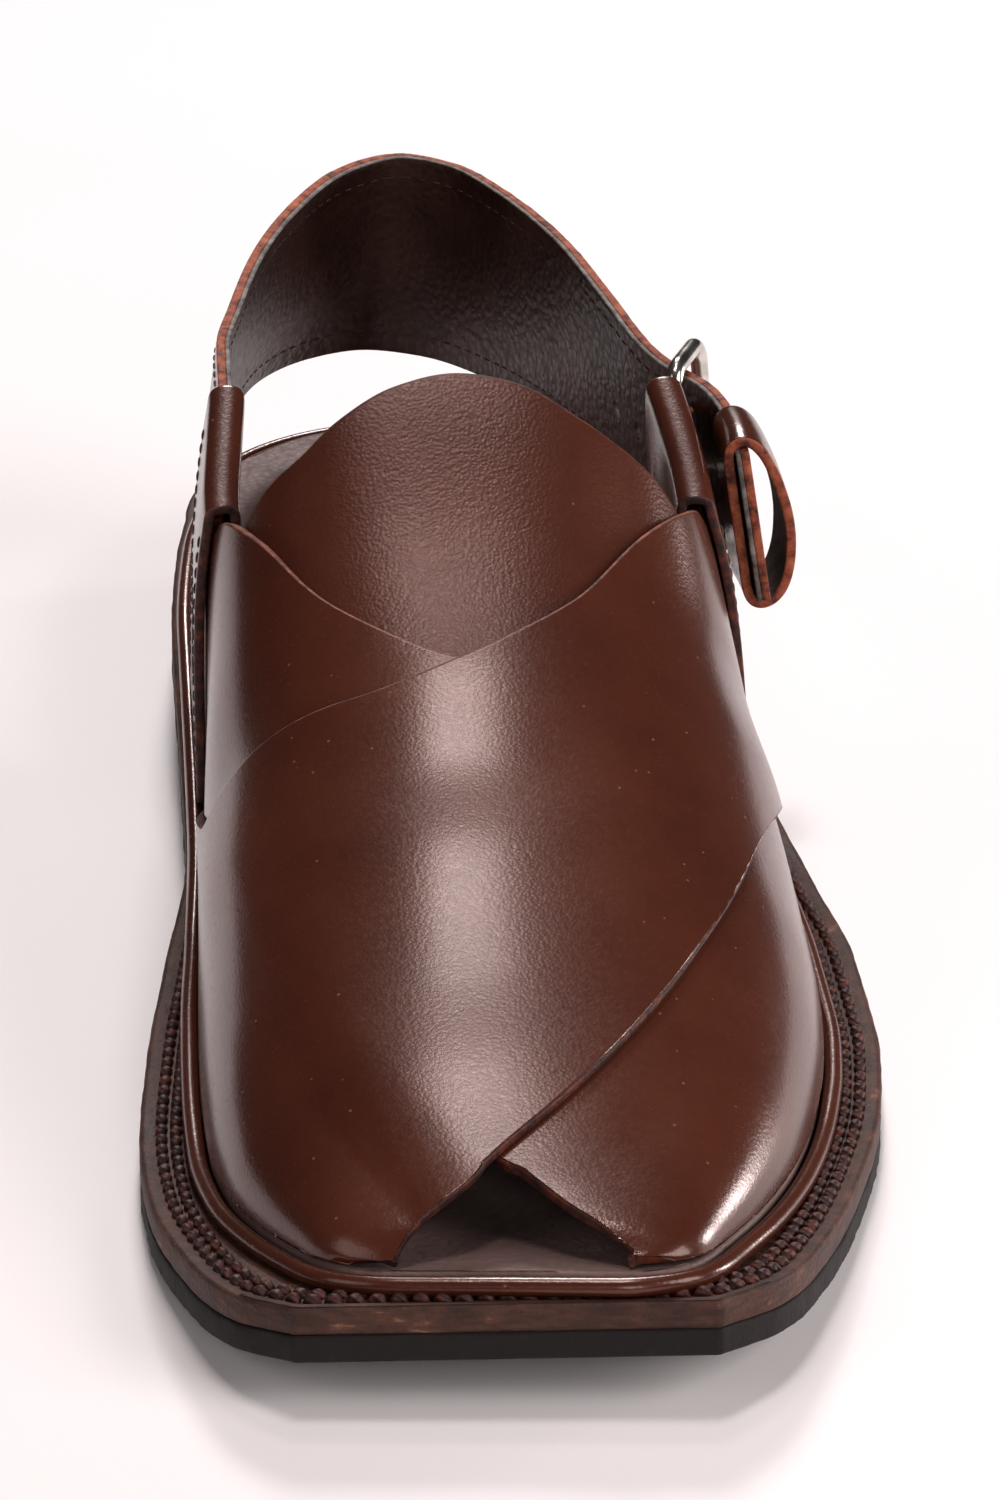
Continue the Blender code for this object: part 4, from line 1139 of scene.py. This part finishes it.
GRAINED_LEATHER = polished_leather(
    "grained_brown_leather", pore=0.28, roughness=0.31, level=0.32, wax=0.0,
)
shares = np.linspace(TONGUE_EDGE[0][0], TONGUE_EDGE[-1][0], TONGUE_ROWS)
rear = evened(through(TONGUE_EDGE, shares), TONGUE_EVENED)
y = TONGUE_FRONT + (rear[:, None] - TONGUE_FRONT) * np.linspace(0, 1, TONGUE_COLUMNS)[None]
share = np.repeat(shares[:, None], TONGUE_COLUMNS, axis=1)
tongue = slab(
    "tongue_leather", on_last(y, share, np.full(y.shape, -TONGUE_UNDER)),
    on_last(y, share, np.full(y.shape, -TONGUE_UNDER - TONGUE_THICK)),
    (GRAINED_LEATHER, DYED_EDGE, BAND_LINING), BAND_CORNER, seed=13,
)
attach(tongue, "root")
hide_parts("tongue")


# ---- Quarter straps ----
# A strap on each side, caught in the welt seam, that stands up the ankle, folds over as a loop for
# the heel strap, and ends inside. A double seam closes the loop below the heel strap.

QUARTER_THICK = 1.6
QUARTER_FRONT = 11.0
QUARTER_REAR_TOP = 40.0
QUARTER_REAR_FOOT = 48.0
# Top of the loop's fold: y along the foot, height.
LOOP_RIDGE = ((11.0, 67.2), (40.0, 76.4))
INNER_LEG = 26.0
QUARTER_CLEAR = 0.35
INNER_CLEAR = 0.45
# The inner leg stands off in creases: how far on the medial and on the lateral side, then the
# creases' depth as a share of it, their number across the strap and where they start.
INNER_BULGE = (0.0, 3.2)
CREASE_DEPTH = 0.28
CREASE_COUNT = 1.5
CREASE_START = 0.1
# The fold is round, but flatter on top where the power is under 1.
LOOP_RADIUS = 3.2
LOOP_SQUARE = 0.75
# Grid of a quarter strap: columns across it, rows up its outer leg, over the fold and down inside,
# and how often it is evened up and down.
QUARTER_COLUMNS = 44
LEG_ROWS = 70
FOLD_ROWS = 26
INNER_ROWS = 26
QUARTER_EVENED = 6
# Heights are read on this share of the last's girth from either seat, at this many points.
SIDE_SHARE = 0.45
SIDE_POINTS = 60
# Seams on that grid: the columns along both edges, the rows that these stop short of each end of the
# outer leg, and the two rows across.
EDGE_SEAMS = (3, 40)
SEAM_ENDS = 4
CROSS_SEAMS = (30, 33)
SEAM_COLOURS = ("#1d0d0a", "#38201a", "#55352b")
SEAM_RADIUS = 0.18
SEAM_SINK = 0.6
SEAM_PROUD = 0.05
SEAM_PITCH = 2.6
SEAM_STITCH = 2.0
STRAP_CORNER = 0.35
STRAP_ROUGH = 0.05
FLESH_COLOURS = ("#2a1a15", "#3b2721", "#54392f")


def ridge_at(y):
    return np.interp(y, [row[0] for row in LOOP_RIDGE], [row[1] for row in LOOP_RIDGE])


def at_height(side, y, heights, offset):
    """Points that stand off the last's medial (-1) or lateral (1) side at these heights."""
    shares = np.linspace(0, SIDE_SHARE, SIDE_POINTS)
    shares = shares if side < 0 else 1 - shares
    line = on_last(y, shares, np.full(SIDE_POINTS, float(offset)))
    return read_rows(heights, line[:, 2], line)


def quarter_grid(side):
    """The strap's outside: up from the seat, over the ankle, and down inside."""
    outer = BAND_THICK + QUARTER_CLEAR + QUARTER_THICK
    inner = -INNER_CLEAR - QUARTER_THICK
    grid = []
    for w in np.linspace(0, 1, QUARTER_COLUMNS):
        top_y = QUARTER_FRONT + (QUARTER_REAR_TOP - QUARTER_FRONT) * w
        foot_y = QUARTER_FRONT + (QUARTER_REAR_FOOT - QUARTER_FRONT) * w
        shoulder = ridge_at(top_y) - LOOP_RADIUS
        foot = on_last(foot_y, 0.0 if side < 0 else 1.0, outer)
        row = [foot]
        for f in np.linspace(0, 1, LEG_ROWS)[1:]:
            height = foot[2] + (shoulder - foot[2]) * f
            row.extend(at_height(side, foot_y + (top_y - foot_y) * f, [height], outer))
        heights = shoulder - INNER_LEG * np.linspace(0, 1, INNER_ROWS)
        down = at_height(side, top_y, heights, inner)
        slack = np.sin(np.linspace(0, math.pi, INNER_ROWS)) * INNER_BULGE[int(side > 0)]
        crease = math.cos(2 * math.pi * (CREASE_COUNT * w + CREASE_START))
        down[:, 0] -= side * slack * (1 - CREASE_DEPTH + CREASE_DEPTH * crease)
        centre = (row[-1] + down[0]) / 2
        across = (down[0] - row[-1]) / 2
        for turn in np.linspace(0, math.pi, FOLD_ROWS)[1:-1]:
            flat = np.sign(math.cos(turn)) * abs(math.cos(turn)) ** LOOP_SQUARE
            rise = LOOP_RADIUS * math.sin(turn) ** LOOP_SQUARE
            row.append(centre - across * flat + np.array([0, 0, rise]))
        row.extend(down)
        grid.append(row)
    return np.array(grid)


def normals_of(grid, sign=1.0):
    return sign * unit(np.cross(np.gradient(grid, axis=0), np.gradient(grid, axis=1)))


FLESH_SIDE = fibre_edge("flesh_side", FLESH_COLOURS, 0.75)
SEAM_THREAD = waxed_thread("seam_thread", SEAM_COLOURS)
seam_rows = []
for side, name in ((-1, "quarter_medial"), (1, "quarter_lateral")):
    grid = evened(quarter_grid(side).swapaxes(0, 1), QUARTER_EVENED).swapaxes(0, 1)
    outward = normals_of(grid, side)
    quarter = slab(
        name + "_strap", grid, grid - outward * QUARTER_THICK, (LEATHER, DYED_EDGE, FLESH_SIDE),
        STRAP_CORNER, STRAP_ROUGH, seed=14,
    )
    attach(quarter, "root")
    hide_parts(name)
    proud = grid + outward * SEAM_PROUD
    along = slice(SEAM_ENDS, LEG_ROWS - SEAM_ENDS)
    for column in EDGE_SEAMS:
        seam_rows.append((proud[column, along], outward[column, along]))
    across = slice(EDGE_SEAMS[0], EDGE_SEAMS[1] + 1)
    for row in CROSS_SEAMS:
        seam_rows.append((proud[across, row], outward[across, row]))
quarter_seams = stitch_piece(
    "quarter_seams", seam_rows, SEAM_THREAD, pitch=SEAM_PITCH, long=SEAM_STITCH,
    radius=SEAM_RADIUS, sink=SEAM_SINK,
)
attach(quarter_seams, "root")


# ---- Heel strap ----
# One strap from inside the medial loop, round the heel, through the buckle to its tail. The leather
# outside and the dark lining inside are glued, then sewn near both edges; the cut edge shows the
# tan leather, a thin pale line of glue and the lining.

STRAP_THICK = 2.2
STRAP_LEATHER = 1.45
STRAP_LINING = 0.8
# Where the strap starts inside the loop and where it is out of it, and its height at both.
STRAP_START = 22.5
STRAP_OUT = 42.0
STRAP_HEIGHTS = (24.6, 27.0)
# Middle of the strap from the medial loop round to its tail: top x, y, z, bottom x, y, z.
HEEL_STRAP = (
    (-30.6, 60.0, 76.0, -34.7, 61.0, 47.4), (-28.2, 74.0, 77.0, -33.4, 76.0, 46.8),
    (-23.2, 98.0, 77.9, -30.4, 101.0, 45.0), (-15.6, 120.5, 78.5, -24.8, 125.5, 43.2),
    (-6.0, 138.0, 78.8, -14.5, 140.6, 42.2), (3.4, 143.8, 79.0, -4.0, 145.2, 42.0),
    (12.2, 139.0, 78.8, 7.0, 140.6, 42.2), (20.0, 125.5, 78.4, 18.5, 126.0, 43.0),
    (28.3, 103.0, 77.5, 28.5, 103.0, 44.7), (34.6, 79.5, 75.0, 36.8, 80.0, 45.4),
    (37.8, 68.0, 73.0, 40.7, 68.0, 44.6), (39.9, 62.0, 72.0, 42.8, 62.0, 44.2),
    (43.2, 55.0, 71.4, 46.3, 55.0, 43.9), (46.8, 49.0, 71.2, 49.8, 49.0, 43.9),
    (48.4, 43.5, 71.2, 51.6, 43.5, 44.1), (49.5, 34.0, 71.4, 53.0, 34.0, 44.6),
    (49.9, 26.0, 71.2, 53.6, 26.0, 45.0), (49.9, 19.0, 70.4, 53.9, 19.0, 45.1),
)
# The first of those rows that is on the lateral side.
LATERAL_FROM = 8
# The buckle's centre, and how far it leans out, in degrees. The holes are punched square to it.
BUCKLE_CENTRE = (46.4, 55.0, 55.6)
BUCKLE_LEAN = 5.3
# Points across each station that the strap is drawn through, and stations in the medial loop.
STATION_POINTS = 4
LOOP_STATIONS = 4
# Grid of the strap: rows along it, columns across it, how often it is evened along, the columns that
# the two seams follow, and the rows that these stop short of the strap's ends.
STRAP_ROWS = 420
STRAP_COLUMNS = 30
STRAP_EVENED = 10
STRAP_SEAMS = (3, 26)
STRAP_SEAM_ENDS = 6
STRAP_SEAM_PITCH = 3.0
STRAP_SEAM_STITCH = 2.2
STRAP_SEAM_PROUD = 0.04
THIN_CORNER = 0.25
LINING_CORNER = 0.2
HOLE_PLACES = (76.5, 67.5, 57.6, 49.5, 41.0)
HOLE_RADIUS = 1.35
HOLE_AROUND = 20
PUNCH_REACH = 5.0
CUT_COLOURS = ("#3a170e", "#8a4127", "#a86040")
LINING_COLOURS = ("#170b07", "#25130e", "#3a231b")
LINING_PEBBLE = 1.5
LINING_ROUGHNESS = 0.42
GLUE_COLOURS = ("#3a3432", "#625b57", "#857e79")


def in_loop(side, y, low, thick):
    """Across a strap where it lies in a loop: from under the fold down, inside the outer leg."""
    top = ridge_at(y) - LOOP_RADIUS
    offset = BAND_THICK + QUARTER_CLEAR - GAP - thick / 2
    return at_height(side, y, np.linspace(top, top - low, STATION_POINTS), offset)


def strap_grid(stations, rows, columns, times):
    """A strap's middle surface through stations of points across it, evenly spaced along it and
    evened this often."""
    stations = np.array(stations)
    length = lengths(stations.mean(axis=1))
    keyed = np.column_stack([length, stations.reshape(len(stations), -1)])
    at = np.linspace(0, length[-1], rows)
    lines = np.column_stack([through(keyed, at, column) for column in range(1, keyed.shape[1])])
    lines = evened(lines.reshape(rows, stations.shape[1], 3), times)
    share = np.linspace(0, stations.shape[1] - 1, columns)
    i = np.clip(share.astype(int), 0, stations.shape[1] - 2)
    part = (share - i)[None, :, None]
    return lines[:, i] * (1 - part) + lines[:, i + 1] * part


def punch(target, cutters):
    """Cuts the strap with each cutter, keeps the result and removes the cutters."""
    for cutter in cutters:
        cut = target.modifiers.new("punch", "BOOLEAN")
        cut.operation = "DIFFERENCE"
        cut.solver = "EXACT"
        cut.object = cutter
    bpy.context.view_layer.update()
    solid = bpy.data.meshes.new_from_object(target.evaluated_get(bpy.context.evaluated_depsgraph_get()))
    target.modifiers.clear()
    target.data = solid
    for cutter in cutters:
        bpy.data.objects.remove(cutter)


def hole_cutter(y, finish):
    """A round punch through the strap at one place along the lateral side."""
    rows = np.array(HEEL_STRAP[LATERAL_FROM:])
    middle = (rows[:, :3] + rows[:, 3:]) / 2
    x = np.interp(-y, -middle[:, 1], middle[:, 0])
    lean = math.radians(BUCKLE_LEAN)
    across = PUNCH_REACH * np.array([math.cos(lean), 0.0, math.sin(lean)])
    centre = np.array((x, y, BUCKLE_CENTRE[2]))
    return tube("punch", [centre - across, centre, centre + across], HOLE_RADIUS, (finish,), HOLE_AROUND)


stations = [
    in_loop(-1, y, height, STRAP_THICK)
    for y, height in zip(
        np.linspace(STRAP_START, STRAP_OUT, LOOP_STATIONS), np.linspace(*STRAP_HEIGHTS, LOOP_STATIONS),
    )
]
for row in HEEL_STRAP:
    top, bottom = np.array(row[:3]), np.array(row[3:])
    stations.append(np.linspace(top, bottom, STATION_POINTS))
strap_middle = strap_grid(stations, STRAP_ROWS, STRAP_COLUMNS, STRAP_EVENED)
strap_out = normals_of(strap_middle)
CUT_EDGE = fibre_edge("cut_edge_fibre", CUT_COLOURS)
STRAP_LINING_FINISH = lining_leather(
    "strap_lining", LINING_COLOURS, LINING_PEBBLE, LINING_ROUGHNESS,
)
GLUE_LINE = fibre_edge("glued_lining_edge", GLUE_COLOURS, 0.6)
strap_face = strap_middle + strap_out * STRAP_THICK / 2
heel_strap = slab(
    "heel_strap_leather", strap_face, strap_face - strap_out * STRAP_LEATHER,
    (LEATHER, CUT_EDGE, FLESH_SIDE), THIN_CORNER, STRAP_ROUGH, seed=15,
)
lining_face = strap_middle - strap_out * STRAP_THICK / 2
heel_strap_lining = slab(
    "heel_strap_lining", lining_face + strap_out * STRAP_LINING, lining_face,
    (GLUE_LINE, GLUE_LINE, STRAP_LINING_FINISH), LINING_CORNER, seed=16,
)
for layer, finish in ((heel_strap, CUT_EDGE), (heel_strap_lining, GLUE_LINE)):
    punch(layer, [hole_cutter(y, finish) for y in HOLE_PLACES])
    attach(layer, "root")
    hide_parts("heel_strap")

strap_rows = []
inside_ends = slice(STRAP_SEAM_ENDS, -STRAP_SEAM_ENDS)
for column in STRAP_SEAMS:
    out = strap_out[inside_ends, column]
    strap_rows.append((strap_face[inside_ends, column] + out * STRAP_SEAM_PROUD, out))
    strap_rows.append((lining_face[inside_ends, column] + out * STRAP_SEAM_PROUD, -out))
strap_seams = stitch_piece(
    "heel_strap_seams", strap_rows, SEAM_THREAD, pitch=STRAP_SEAM_PITCH, long=STRAP_SEAM_STITCH,
    radius=SEAM_RADIUS, sink=SEAM_SINK,
)
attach(strap_seams, "root")


# ---- Buckle strap ----
# A short strap sewn inside the lateral loop. It goes round the buckle's front bar and back, with a
# slot in the turn where the prong's ring sits.

BUCKLE_STRAP_THICK = 1.4
BUCKLE_STRAP_HEIGHT = 22.0
BUCKLE_STRAP_CLEAR = 43.5
# How far the strap goes round the bar, in degrees. More than 270 runs it into itself.
BUCKLE_STRAP_TURN = 265.0
BUCKLE_STRAP_ROUGH = 0.04
# Stations inside the loop and in the turn, then the grid: rows along it, columns across it, and how
# often it is evened.
BUCKLE_STRAP_STATIONS = 5
BUCKLE_STRAP_STEPS = 30
BUCKLE_STRAP_ROWS = 150
BUCKLE_STRAP_COLUMNS = 22
BUCKLE_STRAP_EVENED = 2
# How far the buckle is turned from the foot's long axis, in degrees.
BUCKLE_YAW = 22.0
BUCKLE_HALF_LENGTH = 7.5
BUCKLE_WIRE = 1.2
# The slot for the prong: its size out, along and up, and its centre behind the front bar.
PRONG_SLOT = (12.0, 10.0, 4.6)
SLOT_BEHIND = 2.0


def at_buckle(out, along, up):
    """Points in the buckle's own frame: out from the ankle, back along it, and up."""
    lean = math.radians(BUCKLE_LEAN)
    yaw = math.radians(BUCKLE_YAW)
    out, along, up = (np.asarray(value, float) for value in (out, along, up))
    side = out * math.cos(lean) - up * math.sin(lean)
    return np.array(BUCKLE_CENTRE) + np.stack(np.broadcast_arrays(
        side * math.cos(yaw) + along * math.sin(yaw),
        along * math.cos(yaw) - side * math.sin(yaw),
        out * math.sin(lean) + up * math.cos(lean),
    ), axis=-1)


def slot_cutter(size, centre, finish):
    """A block in the buckle's own frame that cuts the prong's slot."""
    corners = []
    for out in (-0.5, 0.5):
        for along in (-0.5, 0.5):
            for up in (-0.5, 0.5):
                corners.append(at_buckle(*(np.array(centre) + np.array(size) * (out, along, up))))
    faces = ((0, 1, 3, 2), (4, 6, 7, 5), (0, 4, 5, 1), (2, 3, 7, 6), (0, 2, 6, 4), (1, 5, 7, 3))
    return mesh_piece("slot", corners, faces, np.zeros(6), (finish,))


stations = [
    in_loop(1, y, BUCKLE_STRAP_HEIGHT, BUCKLE_STRAP_THICK)
    for y in np.linspace(STRAP_START, BUCKLE_STRAP_CLEAR, BUCKLE_STRAP_STATIONS)
]
around = BUCKLE_WIRE + GAP + BUCKLE_STRAP_THICK / 2
ups = np.linspace(0.5, -0.5, STATION_POINTS) * BUCKLE_STRAP_HEIGHT
for turn in np.radians(np.linspace(0, BUCKLE_STRAP_TURN, BUCKLE_STRAP_STEPS)):
    along = -BUCKLE_HALF_LENGTH + around * math.sin(turn)
    stations.append(at_buckle(-around * math.cos(turn), along, ups))
middle = strap_grid(stations, BUCKLE_STRAP_ROWS, BUCKLE_STRAP_COLUMNS, BUCKLE_STRAP_EVENED)
half_out = normals_of(middle) * BUCKLE_STRAP_THICK / 2
buckle_strap = slab(
    "buckle_strap_leather", middle + half_out, middle - half_out,
    (FLESH_SIDE, CUT_EDGE, LEATHER), THIN_CORNER, BUCKLE_STRAP_ROUGH, seed=17,
)
slot_place = (0, -BUCKLE_HALF_LENGTH + SLOT_BEHIND, 0)
punch(buckle_strap, [slot_cutter(PRONG_SLOT, slot_place, CUT_EDGE)])
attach(buckle_strap, "root")
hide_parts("buckle_strap")


# ---- Buckle ----
# A frame of bent steel wire, nickel-plated and polished, with a prong that hooks round its front
# bar and lies through the strap's hole onto the rear bar.

BUCKLE_HALF_HEIGHT = 17.6
BUCKLE_CORNER = 3.5
BUCKLE_SHOWN = 1.45
PRONG_RADIUS = 0.9
PRONG_TIP = 2.4
# Points round the frame's wire and round the prong's, and steps in a corner, the hook and the prong.
FRAME_AROUND = 20
PRONG_AROUND = 16
CORNER_STEPS = 14
HOOK_STEPS = 28
PRONG_STEPS = 16
# The hook round the bar, in degrees, and how the prong's last rings taper.
PRONG_HOOK = (-150, 80)
PRONG_TAPER = (0.97, 0.88, 0.70, 0.35)
STEEL_COLOURS = ("#a8a39c", "#d6d2cb")
STEEL_HAZE = 3.33
# Rubbing marks: short along x and long the other ways.
STEEL_SCRATCH = (0.4, 3.33, 3.33)
STEEL_RELIEF = 0.1


def polished_nickel():
    """Nickel plate: bright, slightly warm, with fine rubbing marks."""
    finish, shader = finish_of("polished_nickel_plate", Metallic=1.0)
    dark, pale = STEEL_COLOURS
    place = node(finish, "TexCoord").outputs["Object"]
    haze = node(finish, "TexNoise", {"Scale": marks(STEEL_HAZE), "Detail": 4.0}, {"Vector": place})
    drawn = node(finish, "Mapping", {"Scale": [marks(size) for size in STEEL_SCRATCH]},
                 {"Vector": place})
    scratch = node(finish, "TexNoise", {"Scale": 1.0, "Detail": 3.0}, {"Vector": drawn.outputs["Vector"]})
    colour = node(finish, "ValToRGB", links={"Fac": haze.outputs["Fac"]},
                  stops=((0.3, dark), (0.6, pale)))
    gloss = node(finish, "MapRange", {"To Min": 0.10, "To Max": 0.30}, {"Value": haze.outputs["Fac"]})
    bump = node(finish, "Bump", {"Strength": 0.12, "Distance": STEEL_RELIEF * MM},
                {"Height": scratch.outputs["Fac"]})
    link(finish, shader, {"Base Color": colour.outputs["Color"], "Roughness": gloss.outputs["Result"],
                          "Normal": bump.outputs["Normal"]})
    return finish


NICKEL = polished_nickel()
half_y = BUCKLE_HALF_LENGTH - BUCKLE_CORNER
half_z = BUCKLE_HALF_HEIGHT - BUCKLE_CORNER
frame_path = []
for k, (along, up) in enumerate(((1, 1), (-1, 1), (-1, -1), (1, -1))):
    for turn in np.radians(np.linspace(0, 90, CORNER_STEPS) + 90 * k):
        y = along * half_y + BUCKLE_CORNER * math.cos(turn)
        z = up * half_z + BUCKLE_CORNER * math.sin(turn)
        frame_path.append(at_buckle(0, y, z))
buckle_frame = tube(
    "buckle_frame_wire", frame_path, BUCKLE_SHOWN, (NICKEL,), FRAME_AROUND, closed=True,
    up=(1.0, 0.0, 0.0),
)
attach(buckle_frame, "root")
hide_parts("buckle_frame")

around = BUCKLE_WIRE + GAP + PRONG_RADIUS
prong_path = [
    at_buckle(around * math.sin(turn), -BUCKLE_HALF_LENGTH - around * math.cos(turn), 0)
    for turn in np.radians(np.linspace(*PRONG_HOOK, HOOK_STEPS))
]
ends = np.linspace(0.0, BUCKLE_HALF_LENGTH + PRONG_TIP, PRONG_STEPS)
prong_path += [at_buckle(around, along, 0) for along in ends]
thick = np.full(len(prong_path), PRONG_RADIUS)
thick[-len(PRONG_TAPER):] *= PRONG_TAPER
buckle_prong = tube("buckle_prong_wire", prong_path, thick, (NICKEL,), PRONG_AROUND)
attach(buckle_prong, "root")
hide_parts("buckle_prong")


# ---- Keeper ----
# A ring of the same leather, closed flesh side in, that holds the strap's tail. It stands out from
# the tail in a bow, so its cut edge shows all round.

KEEPER_THICK = 1.6
KEEPER_FRONT = 20.5
KEEPER_REAR = 33.0
KEEPER_OVER = 1.6
KEEPER_CORNER = 0.3
# Grid of the keeper: rows from front to rear, columns round it, and how often those are evened.
KEEPER_ROWS = 14
KEEPER_COLUMNS = 120
KEEPER_EVENED = 14
# The tail: its height, and the first of the heel strap's rows that is in it.
TAIL_HEIGHT = 28.0
TAIL_FROM = 12
# Round the ring: distance out from the tail, share of its height.
KEEPER = (
    (-2.3, 0.07), (-2.3, 0.50), (-2.3, 0.93), (-1.7, 0.98), (-0.2, 1.0), (1.6, 0.985),
    (3.4, 0.90), (5.0, 0.73), (5.9, 0.55), (6.0, 0.40), (5.2, 0.22), (3.6, 0.08), (1.4, 0.01),
    (-0.6, 0.0), (-1.8, 0.02),
)


def ring_strap(name, grid, thick, finishes, corner, rough, seed):
    """A closed ring of strap from its middle surface: outside, cut edges and inside."""
    rows, columns = grid.shape[:2]
    along = np.roll(grid, -1, axis=1) - np.roll(grid, 1, axis=1)
    out = unit(np.cross(np.gradient(grid, axis=0), along))
    centre = grid.reshape(-1, 3).mean(axis=0)
    out *= np.sign(((grid - centre) * out).sum())
    wander = np.random.default_rng(seed)
    # Over the cut edge from outside to inside: how far it is drawn in, in corners, and its place
    # through the thickness.
    turned = corner / thick
    edge = ((-1, 0.5), (-0.3, 0.5 - 0.3 * turned), (0, 0.5 - turned), (0, 0.0),
            (0, turned - 0.5), (-0.3, 0.3 * turned - 0.5), (-1, -0.5))

    def cut_edge(end, aside, profile):
        rings = []
        for back, through_it in profile:
            ragged = rough * wander.normal(0, 1, (columns, 1)) * (back == 0)
            rings.append(grid[end] + aside * (corner * back + ragged) + out[end] * thick * through_it)
        return rings

    aside = unit(grid[-1] - grid[0])
    front = cut_edge(0, -aside, edge[::-1])
    rear = cut_edge(-1, aside, edge)
    outside = [grid[i] + out[i] * thick / 2 for i in range(1, rows - 1)]
    inside = [grid[i] - out[i] * thick / 2 for i in range(rows - 2, 0, -1)]
    shell = np.array(front + outside + rear + inside)
    faces = quads(len(shell) + 1, columns, closed=True) % (len(shell) * columns)
    edge_rows = len(edge) - 1
    kinds = np.repeat((1, 0, 1, 2), (edge_rows, len(outside) + 1, edge_rows, len(inside) + 1))
    return mesh_piece(name, shell.reshape(-1, 3), faces, np.repeat(kinds, columns), finishes)


profile = np.array(KEEPER + KEEPER[:1])
length = lengths(profile * (1.0, TAIL_HEIGHT))
fine = np.linspace(0, length[-1], KEEPER_COLUMNS + 1)[:-1]
ring = np.column_stack([np.interp(fine, length, profile[:, k]) for k in (0, 1)])
keeper_out, keeper_share = evened(ring, KEEPER_EVENED, closed=True).T
tail_rows = sorted((row[1], *row) for row in HEEL_STRAP[TAIL_FROM:])
grid = []
for y in np.linspace(KEEPER_FRONT, KEEPER_REAR, KEEPER_ROWS):
    top = np.array([through(tail_rows, y, column) for column in (1, 2, 3)])
    bottom = np.array([through(tail_rows, y, column) for column in (4, 5, 6)])
    up = unit(top - bottom)
    out = np.array([up[2], 0.0, -up[0]])
    low, high = bottom - up * KEEPER_OVER, top + up * KEEPER_OVER
    grid.append(low + (high - low) * keeper_share[:, None] + out * keeper_out[:, None])
keeper = ring_strap(
    "keeper_leather", np.array(grid), KEEPER_THICK, (LEATHER, CUT_EDGE, FLESH_SIDE),
    KEEPER_CORNER, STRAP_ROUGH, seed=18,
)
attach(keeper, "root")
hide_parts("keeper")
